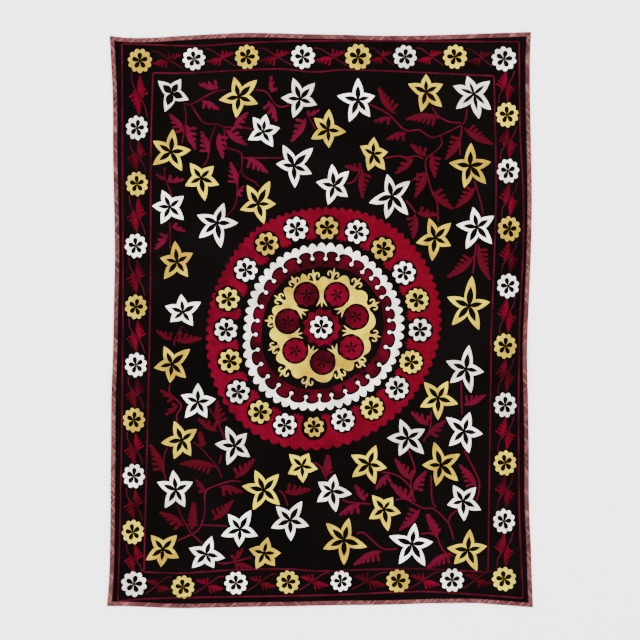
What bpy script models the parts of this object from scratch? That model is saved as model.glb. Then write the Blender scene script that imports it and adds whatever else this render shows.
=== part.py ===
"""A suzani: a black cotton cloth, bound on its four sides with a woven braid, lying flat, face up.

Metres, +Z up. +X runs across the cloth to the right and +Y up its length, as seen from above.
The origin is on the floor, under the middle of the cloth.

The cloth is drawn as a straight-sided rectangle and then laid: each side sways in and out a
little, and a few low ripples lift the cloth off the floor. The braid takes the same sway and
the same ripples, so it stays seated on the cloth's edge all the way round.
"""

import math
from collections import namedtuple

import bmesh
import bpy

WIDTH = 1.470
LENGTH = 1.990
CLOTH_THICKNESS = 0.0016
BRAID_WIDTH = 0.016
BRAID_FACE_THICKNESS = 0.0010
BRAID_BACK_THICKNESS = 0.0008
BRAID_FOLD_THICKNESS = 0.0012
SEAT_GAP = 0.0003

# The cloth's edge stands inside the braid's fold, held off the floor by the braid's back layer.
CLOTH_INSET = BRAID_FOLD_THICKNESS + SEAT_GAP
RIM_LIFT = BRAID_BACK_THICKNESS + SEAT_GAP
RIM_FLAT = 0.020
RIM_END = 0.066
BRAID_HEIGHT = RIM_LIFT + CLOTH_THICKNESS + SEAT_GAP + BRAID_FACE_THICKNESS

# Distances in from an edge that the mesh follows before its even spacing begins.
EDGE_STATIONS = (CLOTH_INSET, RIM_FLAT, 0.042, RIM_END)
SPACING = 0.050

BLACK_COTTON = (0.010, 0.011, 0.014, 1.0)
PINK_BRAID = (0.42, 0.13, 0.12, 1.0)

# A place along a side, and how far the side stands out from the straight line there.
Sway = namedtuple("Sway", "along out")

TOP_SWAY = (
    Sway(-0.735, -0.0010),
    Sway(-0.665, -0.0080),
    Sway(-0.595, -0.0080),
    Sway(-0.490, -0.0010),
    Sway(-0.280, 0.0095),
    Sway(-0.175, 0.0090),
    Sway(-0.070, 0.0060),
    Sway(0.105, 0.0025),
    Sway(0.250, -0.0010),
    Sway(0.420, 0.0025),
    Sway(0.630, 0.0095),
    Sway(0.735, 0.0130),
)
BOTTOM_SWAY = (
    Sway(-0.735, 0.0060),
    Sway(-0.660, 0.0065),
    Sway(-0.490, 0.0130),
    Sway(-0.280, 0.0095),
    Sway(-0.070, 0.0055),
    Sway(0.105, 0.0025),
    Sway(0.240, 0.0010),
    Sway(0.420, -0.0045),
    Sway(0.525, -0.0045),
    Sway(0.630, 0.0025),
    Sway(0.735, 0.0105),
)
LEFT_SWAY = (
    Sway(-0.995, 0.0105),
    Sway(-0.910, 0.0040),
    Sway(-0.800, 0.0000),
    Sway(-0.455, -0.0035),
    Sway(-0.280, -0.0045),
    Sway(-0.105, -0.0105),
    Sway(0.070, -0.0140),
    Sway(0.245, -0.0175),
    Sway(0.420, -0.0140),
    Sway(0.595, -0.0105),
    Sway(0.770, -0.0100),
    Sway(0.910, -0.0035),
    Sway(0.995, 0.0010),
)
RIGHT_SWAY = (
    Sway(-0.995, 0.0105),
    Sway(-0.910, 0.0070),
    Sway(-0.800, 0.0035),
    Sway(-0.630, -0.0035),
    Sway(-0.455, -0.0040),
    Sway(-0.280, -0.0070),
    Sway(-0.105, -0.0105),
    Sway(0.070, -0.0035),
    Sway(0.245, 0.0035),
    Sway(0.420, 0.0065),
    Sway(0.595, 0.0035),
    Sway(0.770, 0.0000),
    Sway(0.910, 0.0000),
    Sway(0.995, 0.0035),
)

# A low ridge: its middle, the way it runs (degrees from +X), its half length, half width and height.
Ripple = namedtuple("Ripple", "x y heading half_length half_width height")

RIPPLES = (
    Ripple(-0.610, 0.960, 100, 0.170, 0.090, 0.0034),
    Ripple(0.250, 0.985, 82, 0.150, 0.100, 0.0028),
    Ripple(-0.155, 0.490, -52, 0.160, 0.080, 0.0022),
    Ripple(-0.030, 0.430, 90, 0.130, 0.075, 0.0018),
    Ripple(-0.700, 0.250, 8, 0.180, 0.120, 0.0030),
    Ripple(0.700, -0.110, -6, 0.170, 0.130, 0.0032),
    Ripple(0.455, -0.970, 96, 0.190, 0.095, 0.0036),
    Ripple(-0.100, -0.975, 84, 0.140, 0.085, 0.0024),
    Ripple(0.080, -0.640, 62, 0.150, 0.085, 0.0018),
    Ripple(-0.690, -0.560, -14, 0.140, 0.090, 0.0022),
    Ripple(0.560, 0.640, 38, 0.150, 0.080, 0.0018),
)


def smooth(share):
    """0 to 1 with level ends, as share goes from 0 to 1."""
    share = min(max(share, 0.0), 1.0)
    return share * share * (3 - 2 * share)


def out_at(table, along):
    """How far a side stands out at a place along it, on a smooth curve through its table."""
    along = min(max(along, table[0].along), table[-1].along)
    last = len(table) - 2
    i = max(k for k in range(last + 1) if table[k].along <= along)
    before, here, after, beyond = (table[min(max(k, 0), last + 1)] for k in range(i - 1, i + 3))
    gap = after.along - here.along
    slope_here = (after.out - before.out) / (after.along - before.along)
    slope_after = (beyond.out - here.out) / (beyond.along - here.along)
    t = (along - here.along) / gap
    return (
        here.out * (2 * t**3 - 3 * t**2 + 1)
        + after.out * (3 * t**2 - 2 * t**3)
        + slope_here * gap * (t**3 - 2 * t**2 + t)
        + slope_after * gap * (t**3 - t**2)
    )


def bump(share):
    """1 in the middle, falling to exactly 0 where share is 1."""
    return (1 + math.cos(math.pi * share)) / 2 if abs(share) < 1 else 0.0


def ripple_height(x, y):
    """How high the ripples hold the cloth off the floor; the bound edge is stiff and stays level across."""
    x = min(max(x, RIM_FLAT - WIDTH / 2), WIDTH / 2 - RIM_FLAT)
    y = min(max(y, RIM_FLAT - LENGTH / 2), LENGTH / 2 - RIM_FLAT)
    height = 0.0
    for ripple in RIPPLES:
        c, s = math.cos(math.radians(ripple.heading)), math.sin(math.radians(ripple.heading))
        dx, dy = x - ripple.x, y - ripple.y
        along = (dx * c + dy * s) / ripple.half_length
        across = (dy * c - dx * s) / ripple.half_width
        height += ripple.height * bump(along) * bump(across)
    return height


def laid(x, y):
    """Where a point of the straight-sided rectangle lies once its sides sway."""
    right_share, top_share = x / WIDTH + 0.5, y / LENGTH + 0.5
    return (
        x + out_at(RIGHT_SWAY, y) * right_share - out_at(LEFT_SWAY, y) * (1 - right_share),
        y + out_at(TOP_SWAY, x) * top_share - out_at(BOTTOM_SWAY, x) * (1 - top_share),
    )


def rim_lift(x, y):
    """How far the cloth rises to enter the braid's fold."""
    inside = min(WIDTH / 2 - abs(x), LENGTH / 2 - abs(y))
    return RIM_LIFT * smooth((RIM_END - inside) / (RIM_END - RIM_FLAT))


def stations(size):
    """Places across the cloth: close together near both edges, then evenly spaced."""
    half = size / 2
    edge = [half - inset for inset in EDGE_STATIONS]
    cells = round(2 * edge[-1] / SPACING)
    middle = [edge[-1] * (2 * k / cells - 1) for k in range(1, cells)]
    return [-place for place in edge] + middle + edge[::-1]


def material(name, colour, roughness):
    """A cloth finish in one colour."""
    made = bpy.data.materials.new(name)
    made.use_nodes = True
    shader = made.node_tree.nodes["Principled BSDF"]
    shader.inputs["Base Color"].default_value = colour
    shader.inputs["Roughness"].default_value = roughness
    shader.inputs["Metallic"].default_value = 0.0
    return made


def add_object(name, points, faces, finish):
    """Makes one closed, named object from its points and faces, with its faces outward."""
    mesh = bpy.data.meshes.new(name)
    mesh.from_pydata(points, [], faces)
    bm = bmesh.new()
    bm.from_mesh(mesh)
    bmesh.ops.recalc_face_normals(bm, faces=bm.faces)
    bm.to_mesh(mesh)
    bm.free()
    mesh.materials.append(finish)
    mesh.shade_smooth()
    mesh.set_sharp_from_angle(angle=math.radians(30))
    made = bpy.data.objects.new(name, mesh)
    bpy.context.scene.collection.objects.link(made)
    return made


def ground_cloth(finish):
    """The cloth: a grid under, the same grid a thickness higher, and a rim that joins the two."""
    across, up = stations(WIDTH), stations(LENGTH)
    columns, rows = len(across), len(up)
    points = []
    for level in (0.0, CLOTH_THICKNESS):
        for y in up:
            for x in across:
                points.append((*laid(x, y), rim_lift(x, y) + ripple_height(x, y) + level))
    over = columns * rows

    def corner(i, j):
        return j * columns + i

    faces = []
    for j in range(rows - 1):
        for i in range(columns - 1):
            square = (corner(i, j), corner(i + 1, j), corner(i + 1, j + 1), corner(i, j + 1))
            faces.append(square[::-1])
            faces.append(tuple(k + over for k in square))
    rim = (
        [corner(i, 0) for i in range(columns - 1)]
        + [corner(columns - 1, j) for j in range(rows - 1)]
        + [corner(i, rows - 1) for i in range(columns - 1, 0, -1)]
        + [corner(0, j) for j in range(rows - 1, 0, -1)]
    )
    for here, after in zip(rim, rim[1:] + rim[:1]):
        faces.append((here, after, after + over, here + over))
    return add_object("ground_cloth", points, faces, finish)


def braid_section():
    """The braid's folded section, as points (inset from the edge, height).

    It runs along the outside from under the cloth to over it, and back along the inside.
    """
    outside, fold = 0.0010, 0.0003
    low, high = BRAID_BACK_THICKNESS, BRAID_HEIGHT - BRAID_FACE_THICKNESS
    return (
        (BRAID_WIDTH, 0.0),
        (outside, 0.0),
        (0.0, outside),
        (0.0, BRAID_HEIGHT - outside),
        (outside, BRAID_HEIGHT),
        (BRAID_WIDTH, BRAID_HEIGHT),
        (BRAID_WIDTH, high),
        (BRAID_FOLD_THICKNESS, high),
        (BRAID_FOLD_THICKNESS, high - fold),
        (BRAID_FOLD_THICKNESS, low + fold),
        (BRAID_FOLD_THICKNESS, low),
        (BRAID_WIDTH, low),
    )


def edge_braid(name, half_side, side_stations, place, finish):
    """One length of braid, folded over one side of the cloth and mitred where it meets the next.

    place turns a position along that side, and an inset from its edge, into a point of the
    straight-sided rectangle.
    """
    section = braid_section()
    count, last = len(section), len(side_stations) - 1
    points = []
    for ring, station in enumerate(side_stations):
        for inset, height in section:
            mitre = math.copysign(half_side - inset - SEAT_GAP, station)
            x, y = place(mitre if ring in (0, last) else station, inset)
            points.append((*laid(x, y), height + ripple_height(x, y)))
    faces = []
    for ring in range(last):
        here, after = ring * count, (ring + 1) * count
        for k in range(count):
            n = (k + 1) % count
            faces.append((here + k, after + k, after + n, here + n))
    for end in (0, last * count):
        for k in range(count // 2 - 1):
            faces.append((end + k, end + k + 1, end + count - 2 - k, end + count - 1 - k))
    return add_object(name, points, faces, finish)


def braid_stations(size):
    """The cloth's own places along a side, with a mitred end in place of the cloth's rim."""
    return [-size / 2] + stations(size)[1:-1] + [size / 2]


def main():
    for old in list(bpy.data.objects):
        bpy.data.objects.remove(old)
    cotton = material("black_cotton", BLACK_COTTON, 0.92)
    braid = material("pink_braid", PINK_BRAID, 0.85)
    ground_cloth(cotton)
    half_width, half_length = WIDTH / 2, LENGTH / 2
    across, up = braid_stations(WIDTH), braid_stations(LENGTH)
    edge_braid("edge_braid_top", half_width, across, lambda s, inset: (s, half_length - inset), braid)
    edge_braid("edge_braid_bottom", half_width, across, lambda s, inset: (s, inset - half_length), braid)
    edge_braid("edge_braid_left", half_length, up, lambda s, inset: (inset - half_width, s), braid)
    edge_braid("edge_braid_right", half_length, up, lambda s, inset: (half_width - inset, s), braid)


main()
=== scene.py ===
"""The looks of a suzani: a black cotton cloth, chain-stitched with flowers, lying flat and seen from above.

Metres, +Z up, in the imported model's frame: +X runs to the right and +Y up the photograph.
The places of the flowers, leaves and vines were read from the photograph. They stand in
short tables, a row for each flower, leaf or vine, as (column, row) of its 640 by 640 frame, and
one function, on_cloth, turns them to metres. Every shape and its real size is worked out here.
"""

import logging
import math
from dataclasses import dataclass, field
from enum import Enum, IntEnum
from typing import NamedTuple, Sequence

import bpy
import numpy as np
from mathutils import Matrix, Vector


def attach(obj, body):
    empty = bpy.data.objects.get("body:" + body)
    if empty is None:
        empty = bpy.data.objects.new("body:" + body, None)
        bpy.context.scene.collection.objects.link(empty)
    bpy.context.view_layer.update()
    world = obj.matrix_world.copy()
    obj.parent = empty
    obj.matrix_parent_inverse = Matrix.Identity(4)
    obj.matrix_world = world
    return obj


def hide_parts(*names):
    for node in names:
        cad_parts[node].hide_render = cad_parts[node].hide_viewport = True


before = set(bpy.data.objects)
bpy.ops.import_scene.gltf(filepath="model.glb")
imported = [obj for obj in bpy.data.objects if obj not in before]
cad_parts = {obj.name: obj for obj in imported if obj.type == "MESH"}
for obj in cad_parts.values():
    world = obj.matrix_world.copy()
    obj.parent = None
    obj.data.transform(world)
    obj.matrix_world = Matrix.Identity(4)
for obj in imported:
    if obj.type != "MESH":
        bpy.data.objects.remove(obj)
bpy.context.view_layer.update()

LOG = logging.getLogger("suzani")
Array = np.ndarray
Place = tuple[float, float]
Colour = tuple[float, float, float, float]
Material, Piece, Socket = bpy.types.Material, bpy.types.Object, bpy.types.NodeSocket

PIXEL = 0.0035  # metres of cloth that one pixel of the photograph shows
PHOTO_MIDDLE = 320  # pixels, both ways
FULL_TURN = 2 * np.pi
EYES = 5  # bare eyes in a rosette
SPAN_SAMPLES = 16  # points worked out in each span of a smooth path
LOBE_PITCH = 0.018  # metres of a leaf's length for each of its lobes
SHADE_STEP = 0.618  # share of the whole range from one motif's shade to the next one's
TINY = 1e-9  # keeps a divisor off zero


class Thread(IntEnum):
    """The dyed threads of the embroidery."""

    WHITE = 0
    YELLOW = 1
    RED = 2
    MAROON = 3


class Lobes(Enum):
    """The side of a leaf's spine that carries its lobes, as seen from its stalk."""

    LEFT = 1
    RIGHT = -1
    BOTH = 0


WHITE, YELLOW, RED, MAROON = Thread.WHITE, Thread.YELLOW, Thread.RED, Thread.MAROON
LEFT, RIGHT, BOTH = Lobes.LEFT, Lobes.RIGHT, Lobes.BOTH


class Sway(NamedTuple):
    """A place along an edge, and how far the edge stands out there."""

    along: float
    out: float


class Ripple(NamedTuple):
    """A low ridge in the cloth: its middle, heading in degrees, and sizes."""

    x: float
    y: float
    heading: float
    half_length: float
    half_width: float
    height: float


class Pucker(NamedTuple):
    """A wave of the small puckers that the stitching draws up."""

    heading: float
    length: float
    height: float
    bend: float


class Star(NamedTuple):
    """A star flower: its thread, its middle, and the tips of its petals."""

    thread: Thread
    middle: Place
    tips: tuple[Place, ...]


class Leaf(NamedTuple):
    """A leaf: its stalk's end, its tip, the side its lobes are on, and how many; 0 follows its length."""

    stalk: Place
    tip: Place
    side: Lobes
    lobes: int = 0


class Fleur(NamedTuple):
    """A fleur: its heading, and how far its tip and the dome after it reach from the middle, in pixels."""

    heading: float
    tip: float
    dome: float


class RingEdge(NamedTuple):
    """How far three of the medallion's rings reach from its middle at a heading, in pixels."""

    heading: float
    dark: float
    white: float
    crimson: float


class Rosette(NamedTuple):
    """A rosette: its middle, its reach in metres, and how many lobes it has."""

    middle: Place
    reach: float
    lobes: int


class Spray(NamedTuple):
    """The spray in a gap of the border: the gap and leaves' sizes, and places as (along, out) pixels."""

    gap: float
    leaf_body: float
    finger_reach: float
    stem: tuple[Place, ...]
    leaves: tuple[Leaf, ...]


class Lamp(NamedTuple):
    """A soft square lamp: its place, its power in watts, and its size."""

    x: float
    y: float
    z: float
    power: float
    size: float
TOP_SWAY = (
    Sway(-0.735, -0.0010), Sway(-0.665, -0.0080), Sway(-0.595, -0.0080), Sway(-0.490, -0.0010),
    Sway(-0.280, 0.0095), Sway(-0.175, 0.0090), Sway(-0.070, 0.0060), Sway(0.105, 0.0025),
    Sway(0.250, -0.0010), Sway(0.420, 0.0025), Sway(0.630, 0.0095), Sway(0.735, 0.0130),
)
BOTTOM_SWAY = (
    Sway(-0.735, 0.0060), Sway(-0.660, 0.0065), Sway(-0.490, 0.0130), Sway(-0.280, 0.0095),
    Sway(-0.070, 0.0055), Sway(0.105, 0.0025), Sway(0.240, 0.0010), Sway(0.420, -0.0045),
    Sway(0.525, -0.0045), Sway(0.630, 0.0025), Sway(0.735, 0.0105),
)
LEFT_SWAY = (
    Sway(-0.995, 0.0105), Sway(-0.910, 0.0040), Sway(-0.800, 0.0000), Sway(-0.455, -0.0035),
    Sway(-0.280, -0.0045), Sway(-0.105, -0.0105), Sway(0.070, -0.0140), Sway(0.245, -0.0175),
    Sway(0.420, -0.0140), Sway(0.595, -0.0105), Sway(0.770, -0.0100), Sway(0.910, -0.0035),
    Sway(0.995, 0.0010),
)
RIGHT_SWAY = (
    Sway(-0.995, 0.0105), Sway(-0.910, 0.0070), Sway(-0.800, 0.0035), Sway(-0.630, -0.0035),
    Sway(-0.455, -0.0040), Sway(-0.280, -0.0070), Sway(-0.105, -0.0105), Sway(0.070, -0.0035),
    Sway(0.245, 0.0035), Sway(0.420, 0.0065), Sway(0.595, 0.0035), Sway(0.770, 0.0000),
    Sway(0.910, 0.0000), Sway(0.995, 0.0035),
)
RIPPLES = (
    Ripple(-0.610, 0.960, 100, 0.170, 0.090, 0.0034),
    Ripple(0.250, 0.985, 82, 0.150, 0.100, 0.0028),
    Ripple(-0.155, 0.490, -52, 0.160, 0.080, 0.0022),
    Ripple(-0.030, 0.430, 90, 0.130, 0.075, 0.0018),
    Ripple(-0.700, 0.250, 8, 0.180, 0.120, 0.0030),
    Ripple(0.700, -0.110, -6, 0.170, 0.130, 0.0032),
    Ripple(0.455, -0.970, 96, 0.190, 0.095, 0.0036),
    Ripple(-0.100, -0.975, 84, 0.140, 0.085, 0.0024),
    Ripple(0.080, -0.640, 62, 0.150, 0.085, 0.0018),
    Ripple(-0.690, -0.560, -14, 0.140, 0.090, 0.0022),
    Ripple(0.560, 0.640, 38, 0.150, 0.080, 0.0018),
)
PUCKERS = (
    Pucker(17, 0.083, 0.00012, 1.3),
    Pucker(-38, 0.057, 0.00010, 1.7),
    Pucker(74, 0.067, 0.00011, 1.1),
    Pucker(-81, 0.041, 0.00007, 1.9),
    Pucker(50, 0.131, 0.00014, 0.8),
)

STARS = (
    Star(WHITE, (172, 93), ((158, 81), (181, 79), (189, 100), (165, 112))),
    Star(YELLOW, (239, 97), ((234, 77), (257, 80), (258, 104), (236, 118), (219, 100))),
    Star(WHITE, (300, 99), ((293, 78), (315, 83), (317, 105), (293, 118), (281, 98))),
    Star(WHITE, (358, 100), ((358, 78), (375, 96), (370, 117), (349, 122), (337, 96))),
    Star(YELLOW, (426, 92), ((426, 74), (443, 84), (442, 107), (421, 112), (408, 84))),
    Star(WHITE, (474, 94), ((467, 76), (490, 81), (491, 110), (479, 119), (456, 109), (453, 86))),
    Star(WHITE, (263, 132), ((266, 114), (280, 128), (273, 147), (248, 140), (253, 117))),
    Star(YELLOW, (171, 152), ((173, 129), (191, 150), (182, 171), (153, 165), (153, 141))),
    Star(YELLOW, (201, 178), ((190, 163), (214, 166), (219, 185), (205, 201), (185, 186))),
    Star(WHITE, (294, 166), ((283, 145), (313, 148), (312, 174), (295, 188), (276, 164))),
    Star(YELLOW, (328, 130), ((329, 109), (346, 132), (329, 148), (311, 139), (314, 118))),
    Star(YELLOW, (258, 204), ((270, 181), (276, 204), (264, 224), (240, 210), (247, 185))),
    Star(YELLOW, (373, 154), ((374, 137), (388, 152), (385, 170), (368, 171), (360, 146))),
    Star(YELLOW, (470, 166), ((471, 143), (491, 162), (486, 184), (464, 188), (449, 163))),
    Star(WHITE, (334, 186), ((332, 164), (349, 171), (348, 197), (328, 205), (316, 182))),
    Star(WHITE, (392, 196), ((387, 174), (410, 181), (408, 215), (386, 219), (369, 203))),
    Star(WHITE, (170, 207), ((162, 190), (184, 196), (184, 220), (161, 224), (152, 206))),
    Star(WHITE, (217, 223), ((224, 203), (238, 223), (221, 248), (199, 238), (197, 215))),
    Star(YELLOW, (177, 262), ((175, 241), (193, 253), (188, 277), (164, 279), (160, 258))),
    Star(WHITE, (183, 312), ((181, 294), (201, 302), (193, 326), (170, 322), (165, 306))),
    Star(YELLOW, (435, 238), ((429, 218), (451, 223), (451, 246), (432, 261), (416, 243))),
    Star(WHITE, (477, 227), ((473, 207), (494, 216), (492, 244), (466, 249), (456, 225))),
    Star(YELLOW, (469, 306), ((472, 276), (490, 302), (479, 330), (452, 325), (447, 297))),
    Star(YELLOW, (172, 364), ((164, 346), (190, 349), (186, 378), (170, 383), (154, 368))),
    Star(WHITE, (198, 402), ((198, 383), (216, 399), (207, 418), (185, 418), (181, 395))),
    Star(YELLOW, (182, 440), ((174, 421), (197, 429), (191, 456), (174, 459), (161, 443))),
    Star(WHITE, (235, 446), ((226, 426), (247, 433), (250, 457), (227, 465), (215, 444))),
    Star(YELLOW, (302, 466), ((289, 454), (309, 453), (318, 469), (303, 483), (288, 474))),
    Star(WHITE, (176, 490), ((173, 470), (193, 482), (185, 507), (165, 508), (157, 482))),
    Star(YELLOW, (264, 490), ((255, 470), (279, 474), (280, 505), (253, 510), (242, 486))),
    Star(WHITE, (332, 491), ((335, 474), (352, 494), (336, 512), (317, 502), (318, 482))),
    Star(WHITE, (466, 369), ((469, 345), (484, 372), (471, 393), (450, 383), (446, 361))),
    Star(YELLOW, (438, 398), ((424, 382), (448, 381), (458, 404), (438, 420), (420, 407))),
    Star(WHITE, (464, 431), ((470, 412), (483, 434), (469, 453), (449, 446), (446, 417))),
    Star(WHITE, (408, 438), ((400, 419), (425, 429), (424, 454), (399, 456), (387, 438))),
    Star(YELLOW, (369, 464), ((376, 445), (387, 468), (375, 484), (352, 477), (351, 455))),
    Star(YELLOW, (441, 465), ((434, 442), (460, 454), (458, 481), (436, 486), (422, 465))),
    Star(WHITE, (240, 529), ((251, 510), (258, 536), (239, 547), (221, 536), (228, 514))),
    Star(WHITE, (290, 520), ((302, 501), (309, 526), (291, 541), (271, 528), (276, 506))),
    Star(YELLOW, (163, 549), ((151, 535), (177, 535), (179, 558), (161, 567), (146, 560))),
    Star(WHITE, (206, 554), ((212, 536), (225, 558), (214, 568), (192, 568), (189, 548))),
    Star(YELLOW, (264, 553), ((268, 537), (281, 553), (275, 566), (256, 569), (249, 549))),
    Star(YELLOW, (384, 509), ((372, 495), (393, 497), (401, 513), (388, 531), (369, 519))),
    Star(WHITE, (463, 501), ((453, 485), (476, 487), (481, 510), (464, 521), (447, 505))),
    Star(YELLOW, (344, 540), ((349, 518), (367, 547), (344, 565), (323, 549), (326, 523))),
    Star(WHITE, (412, 544), ((415, 523), (433, 542), (425, 566), (399, 564), (389, 536))),
    Star(YELLOW, (468, 550), ((470, 529), (487, 546), (477, 571), (454, 564), (447, 548))),
)
UPPER_LEFT_VINES = (
    ((184, 103), (192, 104), (214, 92), (226, 90)),
    ((184, 103), (186, 119), (182, 144)),
    ((191, 105), (202, 121), (209, 124), (217, 124), (224, 127), (247, 128), (253, 130)),
    ((216, 124), (210, 142), (208, 158), (203, 167)),
    (
        (224, 127), (226, 146), (231, 149), (238, 151), (242, 156), (242, 172), (247, 178), (255, 182),
        (259, 187),
    ),
    ((243, 158), (283, 158)),
    ((242, 170), (238, 177), (236, 203), (226, 217)),
    ((255, 90), (264, 91), (269, 95), (275, 104), (282, 107), (290, 105)),
    ((165, 167), (165, 177), (172, 196)),
    ((316, 130), (306, 112)),
    ((170, 222), (170, 249)),
    ((183, 325), (175, 339), (174, 346)),
)
UPPER_RIGHT_VINES = (
    ((369, 104), (388, 114), (405, 130), (419, 130), (427, 135), (436, 137), (462, 125)),
    ((432, 107), (436, 114), (441, 118), (450, 122), (462, 123)),
    ((467, 109), (466, 118), (463, 125)),
    ((462, 126), (460, 144), (460, 156)),
    (
        (440, 135), (442, 143), (437, 150), (429, 156), (426, 160), (426, 170), (432, 192), (437, 203),
        (438, 222),
    ),
    ((385, 158), (399, 156), (406, 158), (416, 156), (424, 159)),
    ((424, 172), (412, 181)),
    ((346, 184), (354, 181), (361, 170)),
    ((474, 180), (481, 203), (483, 215)),
    ((406, 200), (416, 213)),
    ((476, 243), (473, 274)),
)
LOWER_LEFT_VINES = (
    ((170, 384), (170, 393), (181, 405), (177, 415), (177, 424)),
    ((209, 408), (217, 421), (225, 439)),
    ((168, 446), (164, 457), (164, 471), (166, 480)),
    ((193, 442), (202, 449), (217, 467), (222, 478)),
    ((222, 454), (219, 464)),
    (
        (242, 482), (231, 481), (210, 488), (205, 494), (205, 509), (203, 520), (199, 529), (192, 534),
        (177, 541),
    ),
    ((192, 534), (203, 544)),
    ((177, 504), (181, 515), (191, 533)),
    ((202, 525), (227, 526)),
    ((279, 490), (284, 495), (288, 506)),
    ((217, 563), (228, 563), (252, 557)),
)
LOWER_RIGHT_VINES = (
    ((313, 462), (320, 466), (327, 480)),
    ((342, 499), (349, 502), (371, 504)),
    ((381, 472), (394, 474), (405, 481), (412, 491), (413, 501)),
    ((408, 449), (413, 462), (415, 471), (411, 481), (412, 495), (416, 502)),
    ((395, 500), (405, 499), (423, 508), (434, 509), (448, 523), (454, 540)),
    ((431, 475), (432, 499), (436, 508)),
    ((458, 510), (451, 515), (448, 523)),
    ((464, 450), (478, 478), (479, 491), (476, 501)),
    ((420, 534), (430, 533), (437, 537), (441, 547), (447, 554), (454, 556)),
    ((356, 534), (364, 533), (382, 548), (398, 549)),
    ((431, 411), (430, 429), (423, 442)),
    ((461, 382), (462, 415)),
)
UPPER_LEFT_LEAVES = (
    Leaf((219, 88), (201, 85), RIGHT),
    Leaf((202, 101), (217, 108), RIGHT),
    Leaf((272, 93), (271, 78), RIGHT),
    Leaf((268, 101), (276, 119), RIGHT),
    Leaf((234, 127), (246, 114), RIGHT),
    Leaf((226, 130), (244, 144), LEFT),
    Leaf((219, 133), (222, 156), LEFT),
    Leaf((209, 154), (203, 134), LEFT),
    Leaf((187, 125), (194, 147), LEFT),
    Leaf((184, 133), (172, 116), LEFT),
    Leaf((247, 158), (266, 171), RIGHT),
    Leaf((237, 185), (232, 165), LEFT),
    Leaf((237, 196), (243, 187), RIGHT),
    Leaf((165, 180), (157, 175), RIGHT),
    Leaf((167, 181), (182, 180), LEFT),
    Leaf((307, 116), (318, 111), LEFT),
    Leaf((306, 118), (293, 140), RIGHT),
    Leaf((172, 226), (184, 231), LEFT),
    Leaf((168, 234), (157, 248), RIGHT),
)
UPPER_RIGHT_LEAVES = (
    Leaf((395, 114), (379, 89), RIGHT),
    Leaf((391, 118), (376, 121), LEFT),
    Leaf((406, 133), (389, 138), LEFT),
    Leaf((440, 118), (407, 119), LEFT),
    Leaf((464, 128), (492, 144), LEFT),
    Leaf((461, 135), (447, 158), RIGHT),
    Leaf((426, 156), (412, 146), RIGHT),
    Leaf((413, 159), (398, 172), RIGHT),
    Leaf((432, 154), (434, 175), LEFT),
    Leaf((426, 171), (416, 196), RIGHT),
    Leaf((363, 170), (347, 167), RIGHT),
    Leaf((363, 170), (362, 196), LEFT),
    Leaf((475, 187), (457, 207), RIGHT),
    Leaf((432, 191), (451, 208), LEFT),
    Leaf((417, 213), (435, 215), LEFT),
    Leaf((415, 214), (414, 236), RIGHT),
    Leaf((478, 244), (490, 280), LEFT),
    Leaf((474, 256), (448, 277), RIGHT),
)
LOWER_LEFT_LEAVES = (
    Leaf((172, 340), (158, 332), RIGHT),
    Leaf((175, 340), (199, 339), LEFT),
    Leaf((174, 400), (162, 391), LEFT),
    Leaf((178, 405), (167, 414), RIGHT),
    Leaf((220, 425), (217, 404), RIGHT),
    Leaf((217, 431), (200, 421), RIGHT),
    Leaf((163, 473), (151, 446), LEFT),
    Leaf((203, 447), (200, 432), BOTH),
    Leaf((216, 467), (180, 464), LEFT),
    Leaf((235, 478), (253, 461), LEFT),
    Leaf((205, 492), (197, 481), LEFT),
    Leaf((220, 487), (240, 491), RIGHT),
    Leaf((192, 530), (194, 502), BOTH),
    Leaf((184, 526), (162, 513), LEFT),
    Leaf((213, 520), (232, 502), LEFT),
    Leaf((284, 492), (308, 490), LEFT),
    Leaf((233, 561), (242, 550), LEFT),
    Leaf((234, 564), (250, 567), RIGHT),
)
LOWER_RIGHT_LEAVES = (
    Leaf((327, 476), (328, 455), BOTH),
    Leaf((365, 501), (356, 487), RIGHT),
    Leaf((360, 504), (342, 513), LEFT),
    Leaf((476, 487), (461, 466), LEFT),
    Leaf((412, 480), (396, 461), RIGHT),
    Leaf((413, 491), (424, 473), RIGHT),
    Leaf((389, 474), (377, 487), LEFT),
    Leaf((412, 501), (392, 485), RIGHT),
    Leaf((420, 509), (401, 529), RIGHT),
    Leaf((438, 536), (427, 514), BOTH),
    Leaf((382, 551), (355, 564), LEFT),
    Leaf((451, 553), (428, 567), LEFT),
    Leaf((429, 425), (413, 414), RIGHT),
    Leaf((429, 435), (443, 422), RIGHT),
    Leaf((464, 405), (483, 397), LEFT),
)
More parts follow.
